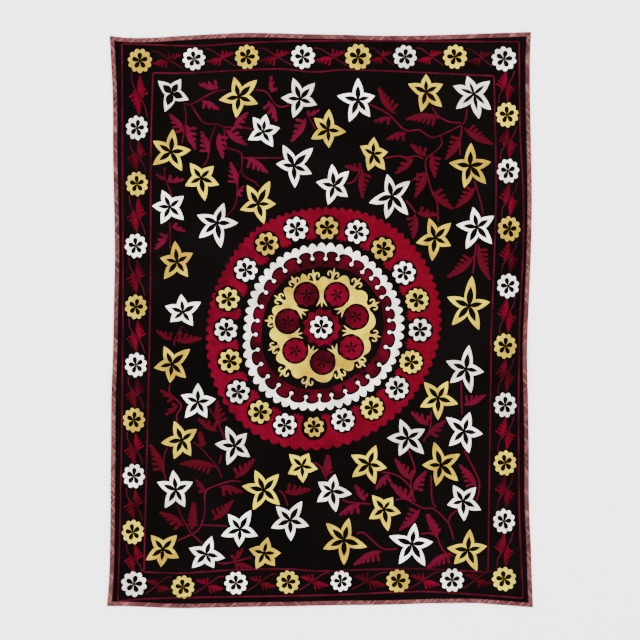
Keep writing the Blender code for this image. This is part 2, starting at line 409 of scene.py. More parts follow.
BORDER_ROSETTES = (
    Rosette((140, 61), 0.0430, 11), Rosette((194, 59), 0.0405, 10), Rosette((247, 57), 0.0430, 11),
    Rosette((303, 57), 0.0430, 10), Rosette((358, 57), 0.0465, 11), Rosette((405, 57), 0.0420, 10),
    Rosette((455, 57), 0.0430, 11), Rosette((504, 59), 0.0440, 10), Rosette((507, 115), 0.0430, 11),
    Rosette((508, 171), 0.0420, 10), Rosette((509, 229), 0.0430, 11), Rosette((508, 286), 0.0420, 10),
    Rosette((505, 346), 0.0430, 11), Rosette((505, 405), 0.0430, 10), Rosette((505, 463), 0.0430, 11),
    Rosette((504, 521), 0.0420, 10), Rosette((504, 579), 0.0430, 11), Rosette((452, 580), 0.0420, 10),
    Rosette((398, 581), 0.0420, 11), Rosette((341, 581), 0.0375, 10), Rosette((288, 582), 0.0410, 11),
    Rosette((236, 583), 0.0410, 10), Rosette((183, 587), 0.0410, 11), Rosette((134, 584), 0.0455, 10),
    Rosette((133, 532), 0.0420, 11), Rosette((134, 476), 0.0420, 10), Rosette((134, 420), 0.0420, 11),
    Rosette((136, 365), 0.0420, 10), Rosette((136, 307), 0.0420, 11), Rosette((136, 246), 0.0420, 10),
    Rosette((137, 184), 0.0420, 11), Rosette((137, 128), 0.0420, 10),
)
RING_ROSETTES = (
    Rosette((327, 228), 0.0413, 8), Rosette((357, 232), 0.0413, 8), Rosette((383, 249), 0.0413, 8),
    Rosette((404, 273), 0.0413, 8), Rosette((417, 300), 0.0413, 12), Rosette((420, 330), 0.0413, 8),
    Rosette((411, 362), 0.0413, 12), Rosette((397, 388), 0.0413, 10), Rosette((372, 408), 0.0413, 12),
    Rosette((343, 420), 0.0413, 10), Rosette((314, 427), 0.0365, 8), Rosette((285, 425), 0.0413, 8),
    Rosette((260, 412), 0.0413, 8), Rosette((238, 392), 0.0413, 8), Rosette((230, 361), 0.0413, 8),
    Rosette((226, 330), 0.0413, 8), Rosette((228, 299), 0.0413, 8), Rosette((246, 270), 0.0413, 8),
    Rosette((267, 244), 0.0413, 8), Rosette((296, 229), 0.0427, 8),
)
BORDER_LINES = (
    ((122, 44), (196, 46), (245, 43), (325, 41), (520, 42)),
    ((519, 42), (520, 130), (523, 190), (523, 250), (519, 345), (519, 500), (523, 598)),
    ((118, 601), (165, 598), (325, 595), (399, 592), (441, 592), (523, 598)),
    ((122, 44), (123, 300), (121, 480), (118, 601)),
    ((153, 73), (189, 73), (273, 69), (315, 72), (357, 70), (494, 76)),
    ((494, 76), (496, 197), (491, 337), (491, 359), (488, 572)),
    ((144, 572), (184, 573), (231, 570), (287, 569), (320, 571), (385, 569), (427, 569), (488, 572)),
    ((153, 73), (151, 150), (150, 316), (144, 572)),
)
ROW_SPRAY = Spray(
    gap=52,
    leaf_body=0.20,
    finger_reach=0.54,
    stem=((-15, 9), (-9, 8), (-3, 4), (7, -3.5), (15, -8.5)),
    leaves=(Leaf((0, 1.5), (11, 4), LEFT, 4), Leaf((2, -1.5), (-11, -3), LEFT, 5)),
)
COLUMN_SPRAY = Spray(
    gap=57,
    leaf_body=0.17,
    finger_reach=0.44,
    stem=((-17, 9), (-8, 6), (0, 0), (8, -6), (17, -7)),
    leaves=(Leaf((-3, 4.5), (13, 1.5), LEFT, 6), Leaf((3, -4.5), (-14, 0.5), LEFT, 6)),
)
HEART = Rosette((321.2, 327.1), 0.0410, 8)
DISCS = (
    (306.4, 294.8), (336.7, 294.8), (356.2, 316.8), (351.2, 347.5), (322.6, 362), (295.2, 350.8),
    (287.8, 321.3),
)
FLEURS = (
    Fleur(78, 61, 51),
    Fleur(99, 59, 57),
    Fleur(121, 60, 54),
    Fleur(146, 58, 53),
    Fleur(173, 58, 53),
    Fleur(203, 59, 56),
    Fleur(229, 65, 57),
    Fleur(255, 63, 55),
    Fleur(291, 57, 52),
    Fleur(318, 59, 53),
    Fleur(351, 60, 54),
    Fleur(24, 63, 56),
    Fleur(52, 63, 57),
)
PENDANT_HEADINGS = (
    6, 16, 27, 36, 45, 54, 65, 77, 87, 98, 109, 123, 136, 148, 161, 174,
    186, 199, 211, 222, 233, 245, 257, 268, 278, 290, 303, 313, 327, 343, 356,
)
RING_EDGES = (
    RingEdge(0, 61.5, 82.0, 119.5),
    RingEdge(30, 63.0, 82.5, 123.0),
    RingEdge(60, 63.0, 84.5, 124.0),
    RingEdge(90, 60.5, 84.5, 120.5),
    RingEdge(120, 60.5, 83.5, 120.0),
    RingEdge(150, 59.5, 79.0, 115.0),
    RingEdge(180, 60.0, 79.0, 116.0),
    RingEdge(210, 65.0, 86.0, 123.0),
    RingEdge(240, 65.5, 88.5, 127.0),
    RingEdge(270, 61.5, 83.5, 122.5),
    RingEdge(300, 58.0, 81.0, 117.0),
    RingEdge(330, 60.0, 82.0, 115.5),
)


def on_cloth(places: Sequence) -> Array:
    """Places read in the photograph, turned to metres on the cloth.

    x is (column - PHOTO_MIDDLE) * PIXEL and y is (PHOTO_MIDDLE - row) * PIXEL.

    Args:
        places: (column, row) pixels of the 640 by 640 photograph, in any nesting.

    Returns:
        The same places as (x, y) in metres.
    """
    spots = np.asarray(places, float)
    return np.stack(((spots[..., 0] - PHOTO_MIDDLE) * PIXEL, (PHOTO_MIDDLE - spots[..., 1]) * PIXEL), -1)


def smooth(share: Array) -> Array:
    """0 to 1 with level ends, as share goes from 0 to 1: s * s * (3 - 2 s)."""
    share = np.clip(share, 0.0, 1.0)
    return share * share * (3 - 2 * share)


def bump(share: Array) -> Array:
    """A hill, (1 + cos(pi share)) / 2, that falls to 0 where share is 1 either way."""
    return np.where(np.abs(share) < 1, (1 + np.cos(np.pi * np.clip(share, -1, 1))) / 2, 0.0)


def unit(angle: Array) -> Array:
    """A unit vector for each heading, in radians anticlockwise from +X."""
    return np.stack((np.cos(angle), np.sin(angle)), -1)


def turned(x: Array, y: Array, heading: float) -> tuple[Array, Array]:
    """How far places lie along a heading, in degrees, and how far to its left."""
    c, s = unit(np.radians(heading))
    return x * c + y * s, y * c - x * s


def all_round(count: int, start: float = 0.0) -> Array:
    """Evenly spaced headings for one full turn from a start, in radians."""
    return np.linspace(0, FULL_TURN, count, endpoint=False) + start


def gaps_after(turns: Array) -> Array:
    """The angle from each heading to the next one round, in radians."""
    return (np.roll(turns, -1) - turns) % FULL_TURN


def run_along(steps: Array) -> Array:
    """The distance along a line at each of its points, from the steps between them."""
    return np.concatenate(([0.0], np.cumsum(np.hypot(*steps.T))))


def spread(number: int) -> float:
    """A share from 0 to 1 for a motif's number, well away from its neighbours' shares."""
    return (number * SHADE_STEP) % 1.0


def out_at(table: Sequence[Sway], along: Array) -> Array:
    """How far an edge stands out: a cubic through the table's rows, level with its neighbours' slope.

    Args:
        table: The edge's rows.
        along: Places along the edge, measured as the rows' are.

    Returns:
        The distance out, in metres, for each place.
    """
    spots, outs = np.array(table).T
    last = len(table) - 1
    at = np.clip(along, spots[0], spots[-1])
    here = np.clip(np.searchsorted(spots, at, side="right") - 1, 0, last - 1)
    before, after, beyond = np.maximum(here - 1, 0), here + 1, np.minimum(here + 2, last)
    gap = spots[after] - spots[here]
    leave = (outs[after] - outs[before]) / (spots[after] - spots[before])
    enter = (outs[beyond] - outs[here]) / (spots[beyond] - spots[here])
    t = (at - spots[here]) / gap
    return (
        outs[here] * (2 * t**3 - 3 * t**2 + 1)
        + outs[after] * (3 * t**2 - 2 * t**3)
        + leave * gap * (t**3 - 2 * t**2 + t)
        + enter * gap * (t**3 - t**2)
    )


@dataclass(frozen=True)
class LaidCloth:
    """How the cloth lies: a straight rectangle whose sides sway, over low ripples.

    Its methods take x across the straight rectangle and y up it, in metres.
    """

    width: float = 1.470
    length: float = 1.990
    thickness: float = 0.0016
    inset: float = 0.0015
    rim_lift: float = 0.0011
    rim_flat: float = 0.020
    rim_end: float = 0.066
    pucker_fade: float = 0.040
    pucker_crossing: float = 2.1  # waves of bend for each wave of pucker
    unlaying_steps: int = 3

    def inside(self, x: Array, y: Array) -> Array:
        """How far in from the nearest side a place is, in metres."""
        return np.minimum(self.width / 2 - np.abs(x), self.length / 2 - np.abs(y))

    def laid(self, x: Array, y: Array) -> tuple[Array, Array]:
        """Where a place of the straight rectangle lies once its sides sway.

        Each side's sway is shared across the cloth, whole at its own side and none at the other.

        Args:
            x: Places across the straight rectangle.
            y: Places up it.

        Returns:
            The same places as they lie.
        """
        right, top = x / self.width + 0.5, y / self.length + 0.5
        return (
            x + out_at(RIGHT_SWAY, y) * right - out_at(LEFT_SWAY, y) * (1 - right),
            y + out_at(TOP_SWAY, x) * top - out_at(BOTTOM_SWAY, x) * (1 - top),
        )

    def unlaid(self, x: Array, y: Array) -> tuple[Array, Array]:
        """The place of the straight rectangle that lies somewhere: a few steps of taking the sway off.

        Args:
            x: Places across, as they lie.
            y: Places up, as they lie.

        Returns:
            The same places on the straight rectangle.
        """
        flat_x, flat_y = x, y
        for _ in range(self.unlaying_steps):
            back_x, back_y = self.laid(flat_x, flat_y)
            flat_x, flat_y = flat_x + x - back_x, flat_y + y - back_y
        return flat_x, flat_y

    def ripple_height(self, x: Array, y: Array) -> Array:
        """Height of the ripples over the floor, level across the bound edge: a sum of cosine hills.

        Args:
            x: Places across the straight rectangle.
            y: Places up it.

        Returns:
            The height in metres at each.
        """
        x = np.clip(x, self.rim_flat - self.width / 2, self.width / 2 - self.rim_flat)
        y = np.clip(y, self.rim_flat - self.length / 2, self.length / 2 - self.rim_flat)
        height = np.zeros_like(x + y)
        for ripple in RIPPLES:
            along, across = turned(x - ripple.x, y - ripple.y, ripple.heading)
            height += ripple.height * bump(along / ripple.half_length) * bump(across / ripple.half_width)
        return height

    def underside(self, x: Array, y: Array) -> Array:
        """Height of the cloth's lower face: its ripples, and its rise into the braid's fold."""
        rise = smooth((self.rim_end - self.inside(x, y)) / (self.rim_end - self.rim_flat))
        return self.rim_lift * rise + self.ripple_height(x, y)

    def puckers(self, x: Array, y: Array) -> Array:
        """Small puckers from the stitching: bent sine waves, faded out towards the braid.

        Args:
            x: Places across the straight rectangle.
            y: Places up it.

        Returns:
            The height in metres that they add at each.
        """
        height = np.zeros_like(x + y)
        for wave in PUCKERS:
            along, across = (part / wave.length for part in turned(x, y, wave.heading))
            bend = wave.bend * np.sin(self.pucker_crossing * across)
            height += wave.height * np.sin(FULL_TURN * along + bend)
        return height * smooth((self.inside(x, y) - self.rim_flat) / self.pucker_fade)

    def upper(self, x: Array, y: Array) -> Array:
        """Height of the cloth's upper face over the straight rectangle."""
        return self.underside(x, y) + self.thickness + self.puckers(x, y)

    def face(self, spots: Array) -> Array:
        """Height of the cloth's upper face at places as they lie, (..., 2) in metres."""
        return self.upper(*self.unlaid(spots[..., 0], spots[..., 1]))


def joined(points: Array, faces: list, name: str, materials: Sequence[Material]) -> Piece:
    """Makes a named, smooth mesh object at the origin.

    Args:
        points: Its points, (..., 3) in metres.
        faces: The points' numbers round each face.
        name: The piece's name.
        materials: Its finishes, in the order of their numbers.

    Returns:
        The object.
    """
    mesh = bpy.data.meshes.new(name)
    mesh.from_pydata(points.reshape(-1, 3).tolist(), [], faces)
    for material in materials:
        mesh.materials.append(material)
    mesh.shade_smooth()
    made = bpy.data.objects.new(name, mesh)
    bpy.context.scene.collection.objects.link(made)
    return made


def tube(rows: int, ring: int, closed: bool = False) -> tuple[Array, Array, Array, Array]:
    """Numbers the quads between the rings of points of a tube.

    Args:
        rows: How many rings it has.
        ring: How many points each has.
        closed: True where the last ring joins the first.

    Returns:
        Each quad's ring, its place in it, the ring after, and the place beside.
    """
    i, j = np.meshgrid(np.arange(rows if closed else rows - 1), np.arange(ring), indexing="ij")
    i, j = i.ravel(), j.ravel()
    return i, j, (i + 1) % rows, (j + 1) % ring


def give_uv(mesh: bpy.types.Mesh, corners: Array) -> None:
    """Writes one (u, v) in metres for each face corner, in the order of the faces."""
    layer = mesh.uv_layers.new(name="run")
    layer.data.foreach_set("uv", corners.astype(np.float32).ravel())


def give_value(mesh: bpy.types.Mesh, name: str, values: Array) -> None:
    """Writes one number for each point as a named attribute."""
    layer = mesh.attributes.new(name, "FLOAT", "POINT")
    layer.data.foreach_set("value", values.astype(np.float32).ravel())


def smooth_path(places: Array, step: float) -> Array:
    """A smooth curve through places, re-spaced evenly.

    Each span is a cubic whose end slopes are half the step between its neighbours. The curve is
    sampled finely, and then read off at equal distances along it.

    Args:
        places: The places, (n, 2) in metres.
        step: The spacing wanted, in metres.

    Returns:
        The curve's places, (m, 2) in metres.
    """
    ahead, behind = 2 * places[:1] - places[1:2], 2 * places[-1:] - places[-2:-1]
    p = np.concatenate((ahead, places, behind))
    t = np.linspace(0, 1, SPAN_SAMPLES, endpoint=False)[:, None, None]
    a, b, c, d = p[:-3], p[1:-2], p[2:-1], p[3:]
    fine = b + t * (c - a) / 2 + t**2 * (a - 2.5 * b + 2 * c - d / 2) + t**3 * (1.5 * (b - c) + (d - a) / 2)
    fine = np.concatenate((fine.transpose(1, 0, 2).reshape(-1, 2), places[-1:]))
    run = run_along(np.diff(fine, axis=0))
    marks = np.linspace(0, run[-1], max(int(round(run[-1] / step)), 2) + 1)
    return np.stack((np.interp(marks, run, fine[:, 0]), np.interp(marks, run, fine[:, 1])), -1)


@dataclass
class Needlework:
    """Bands of close chain stitch, raised over the cloth and gathered into one closed mesh."""

    name: str
    cloth: LaidCloth
    threads: Sequence[Material]
    height: float = 0.0009
    shoulder: float = 0.0016
    narrow_shoulder: float = 0.45  # of a band too narrow for two whole shoulders
    bend: tuple[float, float] = (0.3, 0.7)  # shares of the shoulder and of the rise
    crown: float = 1.06
    full_span: float = 2.2  # shoulders across, from which a band has its whole height
    least_rise: float = 0.45
    sunk: float = 0.0004
    step: float = 0.0045
    step_share: float = 1.6  # of the widest half width, for a narrow line
    blunt_end: float = 0.06
    dot_rows: int = 9
    dot_length: float = 0.98
    blunt_dot: float = 0.03
    points: list = field(default_factory=list)
    faces: list = field(default_factory=list)
    corners: list = field(default_factory=list)
    finishes: list = field(default_factory=list)
    shades: list = field(default_factory=list)
    warmths: list = field(default_factory=list)
    count: int = 0

    def band(
        self,
        left: Array,
        right: Array,
        thread: Thread,
        shade: float | Array = 0.5,
        warmth: float | Array = 0.0,
        closed: bool = False,
        columns: int = 1,
        lift: float = 0.0,
    ) -> None:
        """Adds a band of stitching between two lines that run side by side.

        Across the band its height rises over a rounded shoulder, is level, and falls again.
        Its u is the distance in from the nearer edge and its v the distance along.

        Args:
            left: One edge, (n, 2) in metres.
            right: The other, (n, 2).
            thread: The thread it is sewn with.
            shade: From 0, the thread's deep dye, to 1, its light one.
            warmth: From 0 to 1, how far its dye leans to its warm one.
            closed: True where the end meets the start.
            columns: Extra lines of points between the shoulders.
            lift: Extra height in metres, for a band that is sewn over another.
        """
        middle = (left + right) / 2
        forward = np.roll(middle, -1, 0) - middle
        if not closed:
            forward[-1] = forward[-2]
        across = right - left
        if np.sum(across[:, 0] * forward[:, 1] - across[:, 1] * forward[:, 0]) < 0:
            left, right = right, left
        span = np.hypot(*(right - left).T)
        edge = np.minimum(self.shoulder, self.narrow_shoulder * span) / np.maximum(span, TINY)
        inner = np.arange(1, columns + 1) / (columns + 1)
        bend, rise = self.bend
        shares = np.stack(
            [0 * edge, bend * edge, edge]
            + [edge + (1 - 2 * edge) * k for k in inner]
            + [1 - edge, 1 - bend * edge, 1 + 0 * edge],
            1,
        )
        rises = np.array([0, rise, 1] + [self.crown] * columns + [1, rise, 0])
        spots = left[:, None] + (right - left)[:, None] * shares[..., None]
        face = self.cloth.face(spots)
        full = (self.height + lift) * np.clip(span / (self.full_span * self.shoulder), self.least_rise, 1.0)
        top = np.concatenate((spots, (face + rises * full[:, None])[..., None]), -1)
        under = np.concatenate((spots[:, [-1, 0]], (face[:, [-1, 0]] - self.sunk)[..., None]), -1)
        loops = np.concatenate((top, under), 1)
        rows, ring = loops.shape[:2]
        self.points.append(loops.reshape(-1, 3))
        self.shades.append(np.repeat(np.broadcast_to(shade, rows), ring))
        self.warmths.append(np.repeat(np.broadcast_to(warmth, rows), ring))

        i, j, after, beside = tube(rows, ring, closed)
        quads = np.stack((i * ring + j, i * ring + beside, after * ring + beside, after * ring + j), 1)
        self.faces += (quads + self.count).tolist()
        run = run_along(forward)
        inward = np.concatenate((np.minimum(shares, 1 - shares) * span[:, None], np.zeros((rows, 2))), 1)
        u = np.stack((inward[i, j], inward[i, beside], inward[after, beside], inward[after, j]), 1)
        v = np.stack((run[i], run[i], run[i + 1], run[i + 1]), 1)
        self.corners.append(np.stack((u, v), -1).reshape(-1, 2))
        made = len(quads)
        if not closed:
            first = np.arange(ring) + self.count
            self.faces += [first[::-1].tolist(), (first + (rows - 1) * ring).tolist()]
            self.corners.append(np.zeros((2 * ring, 2)))
            made += 2
        self.finishes.append(np.full(made, int(thread)))
        self.count += rows * ring

    def line(
        self,
        places: Array,
        half_widths: Sequence[float],
        thread: Thread,
        shade: float = 0.5,
        warmth: float = 0.0,
        lift: float = 0.0,
    ) -> None:
        """Sews a line of stitching along a smooth path, with round ends.

        Args:
            places: The path's places, (n, 2) in metres.
            half_widths: Half its width at even shares of its length, in metres.
            thread: The thread it is sewn with.
            shade: As in band.
            warmth: As in band.
            lift: As in band.
        """
        spacing = min(self.step, self.step_share * max(half_widths))
        spine = smooth_path(np.asarray(places, float), spacing)
        run = run_along(np.diff(spine, axis=0))
        half = np.interp(run / run[-1], np.linspace(0, 1, len(half_widths)), half_widths)
        end = np.clip(np.minimum(run, run[-1] - run) / half, 0, 1)
        half = half * np.sqrt(np.clip(1 - (1 - end) ** 2, self.blunt_end, 1))
        ahead = np.gradient(spine, axis=0)
        ahead /= np.maximum(np.hypot(*ahead.T)[:, None], TINY)
        aside = np.stack((-ahead[:, 1], ahead[:, 0]), 1) * half[:, None]
        self.band(spine + aside, spine - aside, thread, shade, warmth, lift=lift)

    def dot(self, middle: Array, reach: float, thread: Thread, shade: float = 0.5, lift: float = 0.0) -> None:
        """Sews a round dot: a short line as long as it is wide.

        Args:
            middle: Its middle, in metres.
            reach: Its radius, in metres.
            thread: The thread it is sewn with.
            shade: As in band.
            lift: As in band.
        """
        share = np.sin(np.linspace(-1, 1, self.dot_rows)[:, None] * np.pi / 2)
        spine = middle + np.array((reach * self.dot_length, 0.0)) * share
        half = reach * np.sqrt(np.clip(1 - share**2, self.blunt_dot, 1))
        aside = np.array((0.0, 1.0)) * half
        self.band(spine + aside, spine - aside, thread, shade, lift=lift)

    def finished(self) -> Piece:
        """Puts the bands into one object, with its run, shade and warmth for its threads.

        Returns:
            The object, riding on the cloth's body.
        """
        made = joined(np.concatenate(self.points), self.faces, self.name, self.threads)
        mesh = made.data
        mesh.polygons.foreach_set("material_index", np.concatenate(self.finishes).astype(np.int32))
        give_uv(mesh, np.concatenate(self.corners))
        give_value(mesh, "shade", np.concatenate(self.shades))
        give_value(mesh, "warmth", np.concatenate(self.warmths))
        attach(made, "root")
        LOG.info("%s: %d points, %d faces", self.name, len(mesh.vertices), len(mesh.polygons))
        return made


@dataclass
class GroundCloth:
    """The black cotton cloth, one closed sheet."""

    cloth: LaidCloth
    finish: Material
    rim_steps: tuple[float, float] = (0.008, 0.014)
    spacing: float = 0.0095

    def stations(self, size: float) -> Array:
        """Places across the cloth: close together in the rim, then evenly spaced.

        Args:
            size: The cloth's size that way, in metres.

        Returns:
            The places from side to side, in metres from the middle.
        """
        rim = size / 2 - np.array([self.cloth.inset, *self.rim_steps, self.cloth.rim_flat])
        count = int(round(2 * rim[-1] / self.spacing))
        return np.concatenate((-rim[:-1], np.linspace(-rim[-1], rim[-1], count + 1), rim[-2::-1]))

    def build(self) -> Piece:
        """Builds the upper and under face as one grid each, joined round the rim.

        Returns:
            The cloth, with u and v across and up the straight rectangle.
        """
        across, up = self.stations(self.cloth.width), self.stations(self.cloth.length)
        x, y = np.meshgrid(across, up)
        laid_x, laid_y = self.cloth.laid(x, y)
        under = np.stack((laid_x, laid_y, self.cloth.underside(x, y)), -1)
        upper = np.stack((laid_x, laid_y, self.cloth.upper(x, y)), -1)
        rows, columns = x.shape
        corner = np.arange(rows * columns).reshape(rows, columns)
        square = np.stack((corner[:-1, :-1], corner[:-1, 1:], corner[1:, 1:], corner[1:, :-1]), -1)
        square = square.reshape(-1, 4)
        rim = np.concatenate((corner[0, :-1], corner[:-1, -1], corner[-1, :0:-1], corner[:0:-1, 0]))
        after, over = np.roll(rim, -1), rows * columns
        faces = np.concatenate(
            (square[:, ::-1], square + over, np.stack((rim, after, after + over, rim + over), 1))
        )
        made = joined(np.concatenate((under, upper)), faces.tolist(), "black_cloth", [self.finish])
        flat = np.tile(np.stack((x, y), -1).reshape(-1, 2), (2, 1))
        give_uv(made.data, flat[faces.ravel()])
        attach(made, "root")
        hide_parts("ground_cloth")
        LOG.info("black_cloth: %d points", len(made.data.vertices))
        return made


@dataclass
class EdgeBraid:
    """The woven braid that is folded over the cloth's four edges and mitred at its corners."""

    cloth: LaidCloth
    finish: Material
    width: float = 0.016
    face: float = 0.0010
    back: float = 0.0008
    fold: float = 0.0012
    gap: float = 0.0003
    height: float = 0.0040
    turned_edge: float = 0.0010
    inner_turn: float = 0.0003
    crown_points: int = 10
    proud: tuple[float, float, float] = (0.2, 0.6, 0.35)  # at the foot, the shoulder and the inner end
    relief: float = 0.00030
    strand_pitch: float = 0.0085
    slant: float = 1.2
    lower_strand: float = 0.9
    spacing: float = 0.0034

    def section(self) -> Array:
        """The folded section, along the outside from under the cloth to over it, and back inside.

        Returns:
            Rows of (inset, height, how far the strands stand proud there).
        """
        out, count = self.turned_edge, self.crown_points
        foot, shoulder, end = self.proud
        low, high = self.back, self.height - self.face
        crown = np.stack(
            (
                np.linspace(out, self.width, count),
                np.full(count, self.height),
                np.append(np.ones(count - 1), end),
            ),
            1,
        )
        outside = [(self.width, 0.0, 0), (out, 0.0, 0), (0.0, out, foot), (0.0, self.height - out, shoulder)]
        inside = [
            (self.width, high, 0),
            (self.fold, high, 0),
            (self.fold, high - self.inner_turn, 0),
            (self.fold, low + self.inner_turn, 0),
            (self.fold, low, 0),
            (self.width, low, 0),
        ]
        return np.concatenate((outside, crown, inside))

    def strands(self, inset: Array, along: Array) -> Array:
        """Height of the crossing strands: the higher of two sets of slanting rounded ridges.

        Args:
            inset: How far in from the edge, in metres.
            along: How far along the side, in metres.

        Returns:
            The height, from 0 to 1.
        """
        over = (along + self.slant * inset) / self.strand_pitch
        under = (along - self.slant * inset) / self.strand_pitch + 0.5
        return np.maximum(np.abs(np.sin(np.pi * over)), self.lower_strand * np.abs(np.sin(np.pi * under)))

    def side(self, name: str, node: str, half: float, turn: int) -> Piece:
        """Builds the braid of one side by carrying the section along it.

        Args:
            name: The piece's name.
            node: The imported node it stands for.
            half: Half the side's length, in metres.
            turn: 0 for the top side, and then clockwise.

        Returns:
            The piece, with u across the section and v along the side.
        """
        section = self.section()
        inset, level, proud = section.T
        count = int(round(2 * half / self.spacing))
        station = np.linspace(-half, half, count + 1)[:, None]
        reach = half - inset - self.gap
        along = np.clip(station, -reach, reach)
        half_width, half_length = self.cloth.width / 2, self.cloth.length / 2
        x, y = (
            (along, half_length - inset + 0 * along),
            (half_width - inset + 0 * along, -along),
            (-along, inset - half_length + 0 * along),
            (inset - half_width + 0 * along, along),
        )[turn]
        laid_x, laid_y = self.cloth.laid(x, y)
        raised = (self.strands(inset, along) - 1) * self.relief * proud
        z = level + raised + self.cloth.ripple_height(x, y)
        loops = np.stack((laid_x, laid_y, z), -1)
        rows, ring = z.shape
        i, j, after, beside = tube(rows, ring)
        faces = np.stack((i * ring + j, after * ring + j, after * ring + beside, i * ring + beside), 1)
        k = np.arange(ring // 2 - 1)
        end = np.stack((k, k + 1, ring - 2 - k, ring - 1 - k), 1)
        faces = np.concatenate((faces, end, end[:, ::-1] + (rows - 1) * ring))
        made = joined(loops, faces.tolist(), name, [self.finish])
        run = np.broadcast_to(inset, z.shape)
        give_uv(made.data, np.stack((run, along), -1).reshape(-1, 2)[faces.ravel()])
        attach(made, "root")
        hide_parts(node)
        LOG.info("%s: %d points", name, len(made.data.vertices))
        return made

    def build(self) -> list[Piece]:
        """Builds the four sides.

        Returns:
            The four pieces.
        """
        halves = (self.cloth.width / 2, self.cloth.length / 2)
        return [
            self.side(f"braid_{side}", f"edge_braid_{side}", halves[turn % 2], turn)
            for turn, side in enumerate(("top", "right", "bottom", "left"))
        ]


@dataclass
class StarFlowers:
    """The large star flowers of the field: pointed petals, each with a slender bare eye."""

    work: Needlework
    notch: float = 0.0315
    deepest_notch: float = 0.62
    belly: tuple[float, float] = (0.12, 0.02)
    closing: tuple[float, float] = (0.76, 0.175)
    usual_petals: int = 5
    samples: int = 11
    eye_end: float = 0.66
    eye_width: float = 0.092
    eye_crowding: float = 2.7
    eye_lean: float = 0.9
    eye_start: float = 0.070

    def half_petal(self, reach: Array, gap: Array, sign: float) -> tuple[Array, Array]:
        """One side of every petal of a star, in the petals' own axes.

        The outer line is a cubic from the notch to the tip, which bellies out and then closes to a
        point. The inner line is the side of the eye: width * sin(pi t ** 0.9) off the petal's axis.

        Args:
            reach: Each petal's length, in metres.
            gap: The angle to the next petal on this side, in radians.
            sign: 1 for the anticlockwise side, -1 for the other.

        Returns:
            The outer and inner lines, (petals, samples, 2) each, from the notch to the tip.
        """
        t = np.arange(self.samples) / self.samples
        usual_gap = np.radians(360 / self.usual_petals)
        deep = np.minimum(self.notch * np.sqrt(usual_gap / gap), self.deepest_notch * reach)
        weights = ((1 - t) ** 3, 3 * t * (1 - t) ** 2, 3 * t**2 * (1 - t), t**3)
        width = self.eye_width * (self.usual_petals / len(reach)) ** self.eye_crowding * reach
        outer, inner = [], []
        for k, (way, tip) in enumerate(((np.cos(gap / 2), reach), (np.sin(gap / 2), 0 * reach))):
            notch = deep * way
            ends = (notch, notch + self.belly[k] * reach, self.closing[k] * reach, tip)
            outer.append(sum(e[:, None] * w for e, w in zip(ends, weights)))
            inner.append((self.eye_start * reach * way)[:, None] * (1 - t))
        inner[0] = inner[0] + self.eye_end * reach[:, None] * t
        inner[1] = inner[1] + width[:, None] * np.sin(np.pi * t**self.eye_lean)
        return tuple(np.stack((x, sign * y), -1) for x, y in (outer, inner))

    def star(self, star: Star, shade: float) -> None:
        """Sews one star as one closed band round its middle.

        Args:
            star: Its row.
            shade: As in Needlework.band.
        """
        middle, tips = on_cloth(star.middle), on_cloth(star.tips)
        arm = tips - middle
        turn = np.arctan2(arm[:, 1], arm[:, 0])
        order = np.argsort(turn)
        turn, reach = turn[order], np.hypot(*arm[order].T)
        gap = gaps_after(turn)
        ahead = self.half_petal(reach, gap, 1.0)
        behind = self.half_petal(reach, np.roll(gap, 1), -1.0)
        tip = reach[:, None, None] * np.array([[1.0, 0.0]])
        c, s = np.cos(turn)[:, None], np.sin(turn)[:, None]
        lines = []
        for side, end in ((0, tip), (1, self.eye_end * tip)):
            local = np.concatenate((behind[side], end, ahead[side][:, :0:-1]), 1)
            x = middle[0] + local[..., 0] * c - local[..., 1] * s
            y = middle[1] + local[..., 0] * s + local[..., 1] * c
            lines.append(np.stack((x, y), -1).reshape(-1, 2))
        self.work.band(*lines, star.thread, shade, closed=True, columns=3)

    def build(self) -> Piece:
        """Sews every star of the table.

        Returns:
            The one object that holds them.
        """
        for number, star in enumerate(STARS):
            self.star(star, spread(number))
        return self.work.finished()


def sew_rosette(
    work: Needlework,
    middle: Array,
    reach: float,
    lobes: int,
    thread: Thread,
    turn: float,
    shade: float = 0.5,
    stretch: Place = (1.0, 1.0),
    depth: float = 0.0,
    eye_reach: float = 0.66,
    eye_half_angle: float = 34.0,
    samples: int = 110,
    eye_ring: float = 0.035,
) -> None:
    """Sews a rosette: round lobes outside, and five bare drop-shaped eyes that meet in its middle.

    The outside is reach * (1 - depth * (1 - |sin(lobes * angle / 2)|)). The inside is a small
    ring that reaches out over each eye's angle, as the root of 1 minus its share squared. The count
    of points is a multiple of both five and the lobes, so that each notch falls on a point.

    Args:
        work: The needlework it belongs to.
        middle: Its middle, in metres.
        reach: Its radius to the tips of its lobes.
        lobes: How many lobes it has.
        thread: Its thread.
        turn: The heading of its first eye, in degrees.
        shade: As in Needlework.band.
        stretch: How much wider and longer it is than a round one.
        depth: How deep the notches between lobes are, as a share of reach; 0 for 2 over the lobes.
        eye_reach: How far out the eyes go, as a share of reach.
        eye_half_angle: Half the angle an eye covers, in degrees.
        samples: The least count of points round it.
        eye_ring: The radius where the eyes meet, as a share of reach.
    """
    depth = depth or 2.0 / lobes
    shared = math.lcm(EYES, lobes)
    count = shared * math.ceil(samples / shared)
    past = FULL_TURN * np.arange(count) / count
    spoke = unit(past + np.radians(turn)) * np.asarray(stretch)
    outer = reach * (1 - depth * (1 - np.abs(np.sin(lobes * past / 2))))
    half_step = np.radians(180 / EYES)
    off_axis = np.abs((past + half_step) % (2 * half_step) - half_step) / np.radians(eye_half_angle)
    eye = np.sqrt(np.clip(1 - off_axis**2, 0, 1))
    inner = (eye_ring + (eye_reach - eye_ring) * eye) * reach
    work.band(middle + spoke * inner[:, None], middle + spoke * outer[:, None], thread, shade, closed=True)


